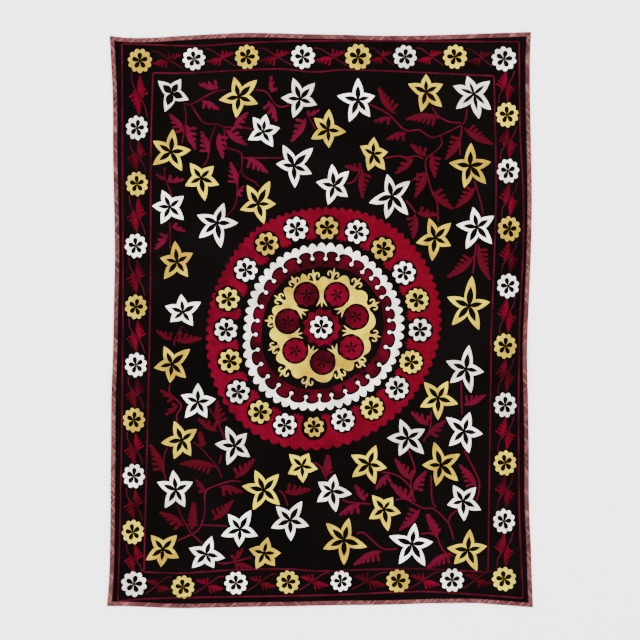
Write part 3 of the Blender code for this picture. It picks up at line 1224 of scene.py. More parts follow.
def sew_numbered(
    work: Needlework, number: int, row: Rosette, swing: float, pace: float, stretch: Place = (1.0, 1.0)
) -> None:
    """Sews one of a round of rosettes: yellow and white by turns, each turned and shaded its own way.

    Args:
        work: The needlework it belongs to.
        number: Its number in the round.
        row: Its row.
        swing: The most that it is turned off upright, in degrees.
        pace: How fast the turn changes from one to the next, in radians.
        stretch: As in sew_rosette.
    """
    thread = YELLOW if number % 2 == 0 else WHITE
    turn = 90 + swing * math.sin(pace * number)
    sew_rosette(work, on_cloth(row.middle), row.reach, row.lobes, thread, turn, spread(number), stretch)


@dataclass
class Foliage:
    """The vines and their lobed leaves."""

    work: Needlework
    vine_half_width: float = 0.0029
    bow: float = 0.09
    finger_width: float = 0.27
    thinnest_finger: float = 0.0036
    thickest_finger: float = 0.0060
    widest_body: float = 0.0125
    longest_finger: float = 0.034
    two_sided: float = 0.62
    spine_samples: int = 12
    taper: float = 0.7
    plain_side: tuple[float, float] = (0.3, 0.04)
    first_root: float = 0.16
    root_span: float = 0.66
    first_turn: float = 80
    turn_span: float = 60
    shortening: float = 0.30

    def leaf(
        self,
        leaf: Leaf,
        shade: float,
        warmth: float,
        body: float = 0.19,
        reach: float = 0.46,
        thread: Thread = MAROON,
    ) -> None:
        """Sews a leaf: a tapered body on a bowed spine, with round fingers along one side or both.

        The spine bows away from the lobes. The fingers leave it at even shares of its length, turn
        from square to the spine at the stalk towards the tip, and the last one is the tip itself.

        Args:
            leaf: Its row.
            shade: As in Needlework.band.
            warmth: As in Needlework.band.
            body: How wide its body is on the lobed side, as a share of its length.
            reach: How long the finger nearest the stalk is, as a share of the leaf's length.
            thread: Its thread.
        """
        stalk, tip = on_cloth(leaf.stalk), on_cloth(leaf.tip)
        axis = tip - stalk
        length = np.hypot(*axis)
        axis = axis / length
        aside = np.array((-axis[1], axis[0]))
        sides = (1, -1) if leaf.side is BOTH else (leaf.side.value,)
        bow = 0.0 if leaf.side is BOTH else -self.bow * leaf.side.value

        def spine(share: Array) -> Array:
            """The spine at a share of the leaf's length: its axis, bowed as a parabola."""
            share = np.asarray(share)[..., None]
            return stalk + axis * length * share + aside * (4 * bow * length) * share * (1 - share)

        share = np.linspace(0.0, 1.0, self.spine_samples)
        lobes = leaf.lobes or max(3, math.ceil(length / LOBE_PITCH))
        finger = self.finger_width * length / max(lobes - 1, 2)
        finger = float(np.clip(finger, self.thinnest_finger, self.thickest_finger))
        body = min(body, self.widest_body / length)
        reach = min(reach, self.longest_finger / length) * (self.two_sided if leaf.side is BOTH else 1.0)
        swell = np.sin(np.pi * np.clip(share * 0.94 + 0.03, 0, 1)) ** self.taper
        lobed = body * length * swell
        plain = (self.plain_side[0] * body + self.plain_side[1]) * length * swell
        edges = (lobed, lobed) if leaf.side is BOTH else ((lobed, plain) if sides[0] > 0 else (plain, lobed))
        left, right = spine(share) + aside * edges[0][:, None], spine(share) - aside * edges[1][:, None]
        self.work.band(left, right, thread, shade, warmth)
        widths = (finger * 0.85, finger, finger * 0.94)
        for side in sides:
            for k in range(lobes):
                part = k / (lobes - 1)
                turn = np.radians(self.first_turn - self.turn_span * part) * side
                point = axis * np.cos(turn) + aside * np.sin(turn)
                long = length * reach * (1 - self.shortening * part)
                start = spine(self.first_root + self.root_span * part)
                bend = start + point * long * 0.55 + axis * long * 0.04
                end = start + point * long + axis * long * 0.10
                lift = 0.00005 * (k % 3 + 1)
                self.work.line(np.array((start, bend, end)), widths, thread, shade, warmth, lift=lift)

    def build(self) -> Piece:
        """Sews the vines and leaves of the four quarters of the field.

        Returns:
            The one object that holds them.
        """
        for vines, shade, warmth in (
            (UPPER_LEFT_VINES, 0.35, 0.0),
            (UPPER_RIGHT_VINES, 0.60, 0.3),
            (LOWER_LEFT_VINES, 0.45, 0.0),
            (LOWER_RIGHT_VINES, 1.0, 0.6),
        ):
            for vine in vines:
                widths = (self.vine_half_width,) * 3
                self.work.line(on_cloth(vine), widths, MAROON, shade, warmth, lift=-0.0001)
        for leaves, shade, warmth in (
            (UPPER_LEFT_LEAVES, 0.80, 0.0),
            (UPPER_RIGHT_LEAVES, 0.90, 1.0),
            (LOWER_LEFT_LEAVES, 0.20, 1.0),
            (LOWER_RIGHT_LEAVES, 0.90, 0.4),
        ):
            for number, leaf in enumerate(leaves):
                self.leaf(leaf, shade + 0.3 * spread(number), warmth)
        return self.work.finished()


@dataclass
class Border:
    """The border: two lines of stitching, rosettes by turns yellow and white, and a spray between."""

    work: Needlework
    line_half_width: float = 0.0028
    stem_half_width: float = 0.0019
    side_from: float = 175  # pixels from the photograph's middle column to the border's upright parts
    corner_from: float = 250  # pixels from its middle row to the corners
    side_stretch: Place = (0.93, 1.04)
    spray_shades: tuple[float, float] = (0.15, 0.70)

    def lines(self) -> None:
        """Sews the outer and inner line, each side's bends as its row gives them."""
        for side in BORDER_LINES:
            self.work.line(on_cloth(side), (self.line_half_width,) * 2, MAROON, 0.40, 0.0)

    def rosettes(self) -> None:
        """Sews the rosettes, clockwise from the top left corner."""
        for number, row in enumerate(BORDER_ROSETTES):
            across, down = (abs(place - PHOTO_MIDDLE) for place in row.middle)
            upright = across > self.side_from and down <= self.corner_from
            sew_numbered(self.work, number, row, 14, 2.4, self.side_stretch if upright else (1.0, 1.0))

    def sprays(self) -> None:
        """Sews a slanting stem with two lobed leaves between each rosette and the next.

        In each gap, places are (along, out) pixels of the photograph from the gap's middle, along
        the border clockwise and out from the cloth's middle.
        """
        folk = Foliage(self.work)
        middles = np.array([row.middle for row in BORDER_ROSETTES], float)
        for number, (here, after) in enumerate(zip(middles, np.roll(middles, -1, 0))):
            step = after - here
            row_side = abs(step[0]) > abs(step[1])
            ahead = np.sign(step) * ((1.0, 0.0) if row_side else (0.0, 1.0))
            out = np.array((ahead[1], -ahead[0]))
            slant = 1 if np.sum(ahead) > 0 else -1
            spray = ROW_SPRAY if row_side else COLUMN_SPRAY
            shade = self.spray_shades[number % 2]
            stretch = (np.hypot(*step) / spray.gap) ** 2
            reach = spray.finger_reach if row_side else spray.finger_reach / stretch

            def spot(place: Place) -> Place:
                """A place of the gap as a (column, row) of the photograph."""
                return tuple((here + after) / 2 + ahead * place[0] * stretch + out * slant * place[1])

            stem = on_cloth([spot(place) for place in spray.stem])
            self.work.line(stem, (self.stem_half_width,) * 2, MAROON, 0.3 + 0.5 * shade)
            for leaf in spray.leaves:
                side = LEFT if (leaf.side is LEFT) == (slant > 0) else RIGHT
                leaf = Leaf(spot(leaf.stalk), spot(leaf.tip), side, leaf.lobes)
                folk.leaf(leaf, shade, 0.1, spray.leaf_body, reach, RED)

    def build(self) -> Piece:
        """Sews the whole border.

        Returns:
            The one object that holds it.
        """
        self.lines()
        self.rosettes()
        self.sprays()
        return self.work.finished()


@dataclass
class Medallion:
    """The round medallion in the cloth's middle, ring within ring.

    Its rings aren't round: RING_EDGES says how far each reaches by heading.
    """

    work: Needlework
    middle: Place = (322.0, 327.5)
    heart_turn: float = 88
    toothed_ring: tuple[float, float, float] = (0.0435, 0.0570, 0.0690)
    teeth: int = 11
    disc_reach: float = 0.0415
    disc_lobes: int = 9
    disc_notch: float = 0.13
    disc_eye: tuple[float, float] = (0.50, 19)  # its reach, and half the angle it covers
    disc_shades: tuple[float, float] = (0.30, 0.85)
    bright_discs: tuple[int, ...] = (1, 3, 5)
    disc_hole: float = 0.0462
    disc_ring: float = 0.1240
    strut_foot: float = 0.0700
    fleur_height: float = 0.0430
    fleur_clear: float = 0.0175 / 0.18  # half a fleur's width over the radius it stands at
    fleur_sunk: float = 0.001
    dome_round: float = 0.75
    thinnest_body: float = 0.0065
    dark_ring: tuple[float, float] = (0.2135, 0.2230)
    head_top: float = 0.2612
    arch: float = 0.2655
    arch_root: float = 0.0165
    white_teeth: tuple[float, float] = (0.0095, 0.0270)
    tooth_count: int = 56
    pendant_end: float = 0.2405
    ball_reach: float = 0.0068
    ball_clear: float = 0.0036
    stem_clear: float = 0.0058
    ball_follows: float = 0.8  # share of the white ring's lean that the pendants' balls take
    crimson_hole: float = 0.0462
    crimson_foot: float = 0.3075
    crimson_edge: float = 0.4240
    scallops: int = 82
    scallop_depth: float = 0.0125

    def ring_spot(self, angle: Array, radius: Array) -> Array:
        """Places at an angle (radians) and radius (metres) about the medallion's middle."""
        angle, radius = np.broadcast_arrays(angle, radius)
        return on_cloth(self.middle) + unit(angle) * radius[..., None]

    def about(self, places: Array) -> tuple[Array, Array]:
        """Headings and radii of places about the medallion's middle, in the order of the headings.

        Args:
            places: The places, (n, 2) in metres.

        Returns:
            Their headings in radians and radii in metres.
        """
        arms = places - on_cloth(self.middle)
        turns = np.arctan2(arms[:, 1], arms[:, 0])
        order = np.argsort(turns)
        return turns[order], np.hypot(*arms.T)[order]

    def lean(self, angle: Array, ring: str) -> Array:
        """How far a ring stands out of its circle, on a smooth closed curve through RING_EDGES.

        Args:
            angle: Headings in radians.
            ring: The column of the table: "dark", "white" or "crimson".

        Returns:
            The distance out, in metres, for each heading.
        """
        circle = {
            "dark": self.dark_ring[0],
            "white": self.arch + self.white_teeth[1],
            "crimson": self.crimson_edge,
        }[ring]
        rows = [
            Sway(row.heading + turn, getattr(row, ring) * PIXEL - circle)
            for turn in (-360, 0, 360)
            for row in RING_EDGES
        ]
        return out_at(rows, np.degrees(angle) % 360)

    def heart(self) -> None:
        """Sews the white rosette and the toothed crimson ring round it."""
        middle, reach, lobes = HEART
        sew_rosette(self.work, on_cloth(middle), reach, lobes, WHITE, self.heart_turn, 0.6)
        angle = all_round(12 * self.teeth)
        inner, valley, tip = self.toothed_ring
        saw = np.abs(((self.teeth * angle / FULL_TURN) % 1) * 2 - 1)
        outside = self.ring_spot(angle, valley + (tip - valley) * saw)
        self.work.band(self.ring_spot(angle, inner), outside, RED, 0.68, closed=True)

    def discs(self) -> None:
        """Sews the seven discs: scalloped, with five small dark eyes, bright and dark by turns."""
        dark, bright = self.disc_shades
        look = ((1, 1), self.disc_notch, *self.disc_eye)
        for number, disc in enumerate(DISCS):
            shade = bright if number in self.bright_discs else dark
            turn = 90 + 20 * math.sin(number)
            sew_rosette(self.work, on_cloth(disc), self.disc_reach, self.disc_lobes, RED, turn, shade, *look)

    def body_edge(self, angles: Array) -> Array:
        """The yellow body's outer radius: low at each fleur, with a dome between it and the next.

        The dome is sin(90 degrees * share) ** 0.75, where share runs from 0, a little way off the
        fleur's axis, to 1 half way to the next fleur.

        Args:
            angles: Headings in radians.

        Returns:
            The radius in metres at each.
        """
        rows = sorted(FLEURS, key=lambda row: row.heading % 360)
        heads = np.radians([row.heading % 360 for row in rows])
        tips = np.array([row.tip for row in rows]) * PIXEL
        domes = np.array([row.dome for row in rows]) * PIXEL
        gaps = gaps_after(heads)
        past = (angles[:, None] - heads) % FULL_TURN
        before = np.argmin(past, 1)
        past = past[np.arange(len(angles)), before]
        after = (before + 1) % len(rows)
        near = np.minimum(past, gaps[before] - past)
        nearest = np.where(past < gaps[before] / 2, before, after)
        valley = tips[nearest] - self.fleur_height + self.fleur_sunk
        share = np.clip((near - self.fleur_clear) / (gaps[before] / 2 - self.fleur_clear), 0, 1)
        return valley + (domes[before] - valley) * np.sin(np.pi / 2 * share) ** self.dome_round

    def yellow_body(self) -> None:
        """Sews the yellow body: a ring behind seven round holes, seven forked struts, and fleurs.

        Behind a hole the ring's inside is the far side of the hole's circle, and between two holes
        it is straight across at the radius where they come nearest.
        """
        turns, radii = self.about(on_cloth(DISCS))
        angles = all_round(480, turns[0])
        insides = holes_inside(angles, turns, radii, self.disc_hole)
        outside = np.maximum(self.body_edge(angles), insides + self.thinnest_body)
        tint = 0.5 + 0.5 * np.sin(2 * angles + 0.7)
        self.work.band(
            self.ring_spot(angles, insides), self.ring_spot(angles, outside), YELLOW, tint, closed=True
        )
        foot, top = self.strut_foot, self.disc_ring
        for angle in turns + gaps_after(turns) / 2:

            def fork(*spots: Place) -> Array:
                """Places as (across, radius) in metres about the strut's own line."""
                across, radius = np.array(spots).T
                return self.ring_spot(angle + across / radius, radius)

            stem = fork((0, top + 0.004), (0, top - 0.014), (0, foot + 0.020), (0, foot))
            self.work.line(stem, (0.0090, 0.0058, 0.0040, 0.0015), YELLOW, 0.4, lift=0.00008)
            for side in (-1, 1):
                arm = fork((0, top - 0.010), (side * 0.0045, foot + 0.026), (side * 0.0195, foot + 0.006))
                self.work.line(arm, (0.0055, 0.0042, 0.0012), YELLOW, 0.4, lift=0.00004)
        heads = np.radians([row.heading for row in FLEURS])
        floors = holes_inside(heads, turns, radii, self.disc_hole)
        for number, (row, floor) in enumerate(zip(FLEURS, floors)):
            self.fleur(row, float(floor), 0.3 + 0.6 * spread(number))

    def fleur(self, row: Fleur, floor: float, shade: float) -> None:
        """Sews a fleur on the yellow body's edge: a spike between two hooks that curl back to it.

        Args:
            row: Its row of the table.
            floor: The radius in metres that it mustn't start below, so that no hole is covered.
            shade: As in Needlework.band.
        """
        foot, angle = row.tip * PIXEL - self.fleur_height, math.radians(row.heading)
        start = max(-0.008, floor + 0.0045 - foot)

        def spots(*places: Place) -> Array:
            """Places as (across, up from the fleur's foot) in metres."""
            across, up = np.array(places).T
            return self.ring_spot(angle + across / (foot + up), foot + up)

        swell = (0, max(0.010, start + 0.006))
        spike = spots((0, start), swell, (0, 0.026), (0, 0.034), (0, self.fleur_height))
        self.work.line(spike, (0.0068, 0.0044, 0.0050, 0.0034, 0.0008), YELLOW, shade, lift=0.0001)
        for side in (-1, 1):
            hook = spots(
                (side * 0.0020, 0.0160),
                (side * 0.0075, 0.0255),
                (side * 0.0135, 0.0285),
                (side * 0.0182, 0.0245),
                (side * 0.0180, 0.0175),
                (side * 0.0140, 0.0130),
            )
            widths = (0.0040, 0.0036, 0.0030, 0.0027, 0.0027, 0.0040)
            self.work.line(hook, widths, YELLOW, shade, lift=0.00003 * (2 + side))

    def head(self, turn: float, half_gap: float) -> None:
        """Sews one round head of the dark ring, between two pendants.

        Its half width is half the gap there less the bare line round the stem, and less still
        round the pendant's ball; near its top it closes as a quarter circle.

        Args:
            turn: Its heading in radians.
            half_gap: Half the angle between the two pendants.
        """
        neck = self.dark_ring[1] + float(self.lean(turn, "dark"))
        top = self.head_top + float(self.lean(turn, "white"))
        ball = self.pendant_end + self.ball_follows * float(self.lean(turn, "white"))
        radii = np.linspace(neck - 0.004, top, 15)
        clear = self.ball_reach + self.ball_clear
        around = np.sqrt(np.clip(clear**2 - (radii - ball) ** 2, 0, None))
        half = half_gap * radii - np.maximum(around, self.stem_clear)
        crown = half[-1] * 1.05
        above = np.clip(radii - (top - crown), 0, None)
        half = np.minimum(half, np.sqrt(np.clip(crown**2 - above**2, 1e-6, None)))
        aside = np.maximum(half, 0.0012) / radii
        left, right = self.ring_spot(turn - aside, radii), self.ring_spot(turn + aside, radii)
        self.work.band(left, right, RED, self.dark_tint(turn), lift=0.00006)

    def dark_tint(self, angle: Array) -> Array:
        """The dark ring's shade at a heading in radians: three slow waves round it."""
        return 0.24 + 0.05 * np.sin(3 * angle)

    def dark_and_white_rings(self) -> None:
        """Sews the dark red ring and its heads, and the white ring with its teeth and pendants."""
        pendants = np.sort(np.radians(np.array(PENDANT_HEADINGS) % 360.0))
        angle = all_round(240)
        inner, neck = (self.ring_spot(angle, edge + self.lean(angle, "dark")) for edge in self.dark_ring)
        self.work.band(inner, neck, RED, self.dark_tint(angle), closed=True)
        for start, gap in zip(pendants, gaps_after(pendants)):
            self.head(start + gap / 2, gap / 2)
        fine = all_round(672)
        out = self.arch + self.lean(fine, "white")
        past = np.min((fine[:, None] - pendants) % FULL_TURN, 1)
        left = np.min((pendants - fine[:, None]) % FULL_TURN, 1)
        share = 1 - 2 * np.minimum(past, left) / np.maximum(past + left, TINY)
        inside = out - self.arch_root * (1 - np.sqrt(1 - share**2.2))
        phase = self.tooth_count * fine / FULL_TURN + 0.06 * np.sin(3 * fine)
        tooth = np.abs(np.cos(np.pi * phase)) ** 0.75
        low, high = self.white_teeth
        outside = out + low + (high - low) * tooth * (1 + 0.12 * np.sin(5 * fine + 1.0))
        self.work.band(self.ring_spot(fine, inside), self.ring_spot(fine, outside), WHITE, closed=True)
        for number, turn in enumerate(pendants):
            out = float(self.lean(turn, "white"))
            end = self.pendant_end + self.ball_follows * out + 0.003 * math.sin(2.1 * number)
            start = self.arch + out
            stem = self.ring_spot(turn, np.array((start + 0.002, start - 0.010, end)))
            self.work.line(stem, (0.0040, 0.0022, 0.0022), WHITE, lift=0.00005)
            self.work.dot(self.ring_spot(turn, end), self.ball_reach, WHITE, lift=0.0001)

    def crimson_ring(self) -> None:
        """Sews the scalloped crimson ring behind the twenty rosettes, its wedges, and the rosettes."""
        turns, radii = self.about(on_cloth([row.middle for row in RING_ROSETTES]))
        angles = all_round(840, turns[0])
        insides = holes_inside(angles, turns, radii, self.crimson_hole)
        edge = self.crimson_edge + self.lean(angles, "crimson")
        phase = self.scallops / FULL_TURN * (angles - 0.14 * np.cos(angles))
        edge = edge - self.scallop_depth * (1 - np.abs(np.cos(np.pi * phase)))
        tint, warmth = 0.90 + 0.10 * np.sin(2 * angles), 0.5 + 0.5 * np.cos(angles)
        self.work.band(
            self.ring_spot(angles, insides), self.ring_spot(angles, edge), RED, tint, warmth, closed=True
        )
        for k in range(len(turns)):
            self.wedge(turns[k - 1], radii[k - 1], turns[k], radii[k])
        for number, row in enumerate(RING_ROSETTES):
            sew_numbered(self.work, number, row, 25, 1.9)

    def wedge(self, turn: float, radius: float, next_turn: float, next_radius: float) -> None:
        """Sews the wedge of the crimson ring between one hole and the next.

        Its sides are the two holes' circles below the ring, and its foot has three ragged points.

        Args:
            turn: The first hole's heading in radians.
            radius: Its middle's radius, in metres.
            next_turn: The next hole's heading.
            next_radius: Its middle's radius.
        """
        gap = (next_turn - turn) % FULL_TURN
        top = max(radius, next_radius) + 0.008
        foot = self.crimson_foot + float(self.lean(turn + gap / 2, "white"))
        levels = np.linspace(foot + 0.004, top, 14)
        halves = []
        for r in (radius, next_radius):
            reach = (r**2 + levels**2 - self.crimson_hole**2) / (2 * r * levels)
            halves.append(np.arccos(np.clip(reach, -1, 1)))
        start, end = turn + halves[0], turn + gap - halves[1]
        middle = (start + end) / 2
        half = np.clip((end - start) / 2, 0.0062 / levels, 0.0185 / levels)
        warmth = 0.5 + 0.5 * math.cos(middle[0])
        left, right = self.ring_spot(middle - half, levels), self.ring_spot(middle + half, levels)
        self.work.band(left, right, RED, 0.85, warmth, lift=-0.00006)
        for part, low in ((-0.62, 0.0060), (0.0, 0.0095), (0.62, 0.0050)):
            at = middle[0] + part * half[0]
            point = self.ring_spot(at, np.array((levels[0] + 0.012, levels[0] + 0.002, levels[0] - low)))
            self.work.line(point, (0.0062, 0.0058, 0.0018), RED, 0.85, warmth, lift=-0.00002)

    def build(self) -> Piece:
        """Sews the medallion from its heart outwards.

        Returns:
            The one object that holds it.
        """
        self.heart()
        self.discs()
        self.yellow_body()
        self.dark_and_white_rings()
        self.crimson_ring()
        return self.work.finished()


def holes_inside(angles: Array, turns: Array, radii: Array, hole: float) -> Array:
    """The inside of a ring that lies behind a circle of round holes.

    Over a hole at radius R the inside is R cos(a) + sqrt(hole ** 2 - (R sin(a)) ** 2), its far side.
    Between two holes it is straight across at the radius where their sides point outwards.

    Args:
        angles: Where to work it out, in radians.
        turns: The holes' headings in radians.
        radii: Their middles' radii, in metres.
        hole: Their own radius.

    Returns:
        The inside's radius at each angle.
    """
    away = (angles[:, None] - turns + np.pi) % (2 * np.pi) - np.pi
    bulge = hole**2 - (radii * np.sin(away)) ** 2
    over = (bulge > 0) & (np.abs(away) < np.pi / 2)
    behind = np.where(over, radii * np.cos(away) + np.sqrt(np.clip(bulge, 0, None)), 0.0)
    nearest = np.argmin(np.abs(away), 1)
    straight = np.sqrt(radii[nearest] ** 2 - hole**2)
    return np.maximum(behind.max(1), straight)


def dye(red: float, green: float, blue: float) -> Colour:
    """A colour seen on a screen as 0 to 255, turned to the linear one a shader takes.

    Args:
        red: Its red.
        green: Its green.
        blue: Its blue.

    Returns:
        The linear red, green, blue and opacity.
    """
    parts = (np.array((red, green, blue)) / 255.0).tolist()
    linear = [p / 12.92 if p <= 0.04045 else ((p + 0.055) / 1.055) ** 2.4 for p in parts]
    return (*linear, 1.0)


@dataclass
class Graph:
    """A tree of shader nodes, filled in from left to right."""

    tree: bpy.types.NodeTree
    column: int = 0

    def node(self, kind: str, **inputs: object) -> bpy.types.Node:
        """Adds a node and sets or links its named inputs.

        Args:
            kind: The node's type, after "ShaderNode".
            inputs: A value or a socket for each input, with its spaces as underscores.

        Returns:
            The node.
        """
        made = self.tree.nodes.new("ShaderNode" + kind)
        self.column += 1
        made.location = (180 * (self.column % 24), -260 * (self.column // 24))
        for name, value in inputs.items():
            self.put(made.inputs[name.replace("_", " ")], value)
        return made

    def put(self, socket: Socket, value: object) -> None:
        """Links a socket to an input, or sets the input's own value."""
        if isinstance(value, Socket):
            self.tree.links.new(value, socket)
        else:
            socket.default_value = value

    def sum(self, operation: str, *values: object) -> Socket:
        """Works out one number from up to three with a Math node.

        Args:
            operation: Its name, such as "MULTIPLY".
            values: Numbers or sockets.

        Returns:
            The result's socket.
        """
        made = self.node("Math")
        made.operation = operation
        for socket, value in zip(made.inputs, values):
            self.put(socket, value)
        return made.outputs[0]

    def blend(self, share: object, first: object, second: object, kind: str = "MIX") -> Socket:
        """Mixes two colours.

        Args:
            share: How much of the second, from 0 to 1.
            first: A colour or socket.
            second: A colour or socket.
            kind: The way they mix.

        Returns:
            The mixed colour's socket.
        """
        made = self.node("Mix")
        made.data_type, made.blend_type, made.clamp_factor = "RGBA", kind, True
        for socket, value in zip((made.inputs[0], made.inputs[6], made.inputs[7]), (share, first, second)):
            self.put(socket, value)
        return made.outputs[2]

    def ramp(self, value: object, low: float, high: float, first: float = 0.0, last: float = 1.0) -> Socket:
        """Maps low..high smoothly to first..last and holds it beyond them.

        Args:
            value: The number or socket to map.
            low: Where it starts to change.
            high: Where it stops.
            first: The result up to low.
            last: The result from high.

        Returns:
            The result's socket.
        """
        made = self.node("MapRange")
        made.interpolation_type = "SMOOTHSTEP"
        for socket, number in zip(made.inputs, (value, low, high, first, last)):
            self.put(socket, number)
        return made.outputs[0]

    def times(self, first: object, second: object) -> Socket:
        """Multiplies two numbers or sockets."""
        return self.sum("MULTIPLY", first, second)

    def scaled(self, value: object, scale: float, start: object) -> Socket:
        """Works out value * scale + start."""
        return self.sum("MULTIPLY_ADD", value, scale, start)

    def ridge(self, value: object) -> Socket:
        """Makes a row of rounded ridges, |sin(pi value)|."""
        return self.sum("ABSOLUTE", self.sum("SINE", self.times(value, math.pi)))

    def parts(self, vector: Socket) -> Sequence[Socket]:
        """Takes a vector apart into its numbers."""
        return self.node("SeparateXYZ", Vector=vector).outputs

    def pick(self, share: object, first: Socket, second: Socket) -> Socket:
        """Mixes two numbers, from the first where share is 0 to the second where it is 1.

        Args:
            share: How much of the second.
            first: The first number's socket.
            second: The second's.

        Returns:
            The result's socket.
        """
        made = self.node("Mix", Factor=share)
        self.put(made.inputs[2], first)
        self.put(made.inputs[3], second)
        return made.outputs[0]

    def speckle(self, **numbers: object) -> Socket:
        """A random number from 0 to 1 for each set of whole numbers, given as X, Y or Z."""
        return self.node("TexWhiteNoise", Vector=self.node("CombineXYZ", **numbers).outputs[0]).outputs[0]


@dataclass
class Effects:
    """The effects that the finishes share, each a node group that is made once."""

    made: dict[str, bpy.types.NodeTree] = field(default_factory=dict)

    def group(
        self, name: str, inputs: dict[str, object], outputs: Sequence[str]
    ) -> tuple[Graph, Sequence[Socket], Sequence[Socket]]:
        """Starts a node group with named inputs and outputs.

        Args:
            name: The group's name.
            inputs: Each input's name and its start value; None makes it a vector.
            outputs: The outputs' names, all of them numbers.

        Returns:
            The graph, the sockets that bring its inputs, and those that take its outputs.
        """
        tree = bpy.data.node_groups.new(name, "ShaderNodeTree")
        for label, value in inputs.items():
            kind = "NodeSocketVector" if value is None else "NodeSocketFloat"
            socket = tree.interface.new_socket(name=label, in_out="INPUT", socket_type=kind)
            if value is not None:
                socket.default_value = value
        for label in outputs:
            tree.interface.new_socket(name=label, in_out="OUTPUT", socket_type="NodeSocketFloat")
        self.made[name] = tree
        graph = Graph(tree)
        start = tree.nodes.new("NodeGroupInput")
        start.location = (-220, 0)
        end = tree.nodes.new("NodeGroupOutput")
        end.location = (4600, 0)
        return graph, start.outputs, end.inputs

    def place(self, graph: Graph, name: str, **values: object) -> Sequence[Socket]:
        """Puts a group into a material's graph with its own values.

        Args:
            graph: The material's graph.
            name: The group's name, which is the name of the method that makes it.
            values: A value or a socket for each input, with its spaces as underscores.

        Returns:
            The group's outputs.
        """
        node = graph.node("Group")
        node.node_tree = self.made.get(name) or getattr(self, name)()
        for label, value in values.items():
            graph.put(node.inputs[label.replace("_", " ")], value)
        return node.outputs

    def chain_stitch(self) -> bpy.types.NodeTree:
        """Rows of chain stitch: across a row a rounded ridge, along it one link after another.

        A link is a chevron: its start lags behind at the row's sides by a share of its length.

        Returns:
            The group: Run in metres, Row and Link sizes in; Height, a painted shade for the seams between
                rows and links, and Tint out.
        """
        inputs = {"Run": None, "Row": 0.0036, "Link": 0.0050}
        stagger, lag, roundness, swelling = 0.37, 0.45, 2.4, 0.55
        graph, start, end = self.group("chain_stitch", inputs, ("Height", "Seam", "Tint"))
        run = graph.parts(start["Run"])
        row = graph.sum("DIVIDE", run[0], start["Row"])
        number = graph.sum("FLOOR", row)
        across = graph.sum("ABSOLUTE", graph.sum("SUBTRACT", graph.sum("FRACT", row), 0.5))
        across = graph.times(across, 2.0)
        link = graph.sum("ADD", graph.sum("DIVIDE", run[1], start["Link"]), graph.times(number, stagger))
        link = graph.sum("SUBTRACT", link, graph.times(across, lag))
        ridge = graph.sum("SUBTRACT", 1.0, graph.sum("POWER", across, roundness))
        swell = graph.sum("SINE", graph.times(graph.sum("FRACT", link), math.pi))
        swell = graph.scaled(graph.sum("POWER", swell, 0.5), swelling, 1 - swelling)
        crease = graph.ramp(across, 0.0, 0.22, 0.72, 1.0)
        height = graph.times(graph.times(ridge, swell), crease)
        graph.put(end["Height"], height)
        # Painted shade's mask: 1 in the low grooves between rows and links, 0 on their tops.
        graph.put(end["Seam"], graph.ramp(height, 0.05, 0.55, 1.0, 0.0))
        graph.put(end["Tint"], graph.speckle(X=number, Y=graph.sum("FLOOR", link)))
        return graph.tree

    def hand_dyed(self) -> bpy.types.NodeTree:
        """The unevenness of hand-dyed, hand-washed thread and cloth: broad drifts and fine flecks.

        Returns:
            The group: Place, Drift and Fleck sizes per metre in; Drift, Fleck and Fibre out.
        """
        inputs = {"Place": None, "Drift size": 9.0, "Fleck size": 130.0}
        graph, start, end = self.group("hand_dyed", inputs, ("Drift", "Fleck", "Fibre"))
        place = start["Place"]
        for label, detail in (("Drift", 2.0), ("Fleck", 3.0)):
            size = start[f"{label} size"]
            noise = graph.node("TexNoise", Vector=place, Scale=size, Detail=detail, Roughness=0.6)
            graph.put(end[label], graph.ramp(noise.outputs[0], 0.30, 0.70))
        fine = graph.node("TexNoise", Vector=place, Scale=1400.0, Detail=1.0)
        graph.put(end["Fibre"], fine.outputs[0])
        return graph.tree

    def plain_weave(self) -> bpy.types.NodeTree:
        """Plain weave: threads over and under by turns, |sin| ridges both ways, swapped in a checker.

        Returns:
            The group: Run in metres and Pitch in; Height, and a painted shade for the gaps between threads,
                out.
        """
        graph, start, end = self.group("plain_weave", {"Run": None, "Pitch": 0.0009}, ("Height", "Painted_gap_shade"))
        run = graph.parts(start["Run"])
        ways = [graph.sum("DIVIDE", run[k], start["Pitch"]) for k in (0, 1)]
        ridges = [graph.ridge(way) for way in ways]
        cells = graph.sum("ADD", graph.sum("FLOOR", ways[0]), graph.sum("FLOOR", ways[1]))
        over = graph.times(graph.sum("FRACT", graph.times(cells, 0.5)), 2.0)
        graph.put(end["Height"], graph.pick(over, *ridges))
        # Painted shade's mask: 1 where the threads of either way dip, in the gaps of the weave.
        graph.put(end["Painted_gap_shade"], graph.sum("SUBTRACT", 1.0, graph.times(*ridges)))
        return graph.tree

    def braid_strands(self) -> bpy.types.NodeTree:
        """Strands that cross along a braid: two slanting sets, each strand with its own number.

        Returns:
            The group: Run in metres, Pitch and Slant in; Height, Which, and a painted shade for the grooves
                between strands, out.
        """
        inputs = {"Run": None, "Pitch": 0.0085, "Slant": 1.2}
        graph, start, end = self.group("braid_strands", inputs, ("Height", "Which", "Painted_groove_shade"))
        run = graph.parts(start["Run"])
        lean = graph.times(run[0], start["Slant"])
        over = graph.sum("DIVIDE", graph.sum("ADD", run[1], lean), start["Pitch"])
        under = graph.sum("DIVIDE", graph.sum("SUBTRACT", run[1], lean), start["Pitch"])
        under = graph.sum("ADD", under, 0.5)
        high, low = graph.ridge(over), graph.times(graph.ridge(under), 0.9)
        height = graph.sum("MAXIMUM", high, low)
        first = graph.speckle(X=graph.sum("FLOOR", over))
        second = graph.speckle(X=graph.sum("FLOOR", under), Y=7.0)
        graph.put(end["Height"], height)
        graph.put(end["Which"], graph.pick(graph.sum("GREATER_THAN", high, low), second, first))
        # Painted shade's mask: 1 in the low grooves between strands, 0 on their tops.
        graph.put(end["Painted_groove_shade"], graph.ramp(height, 0.72, 0.90, 1.0, 0.0))
        return graph.tree


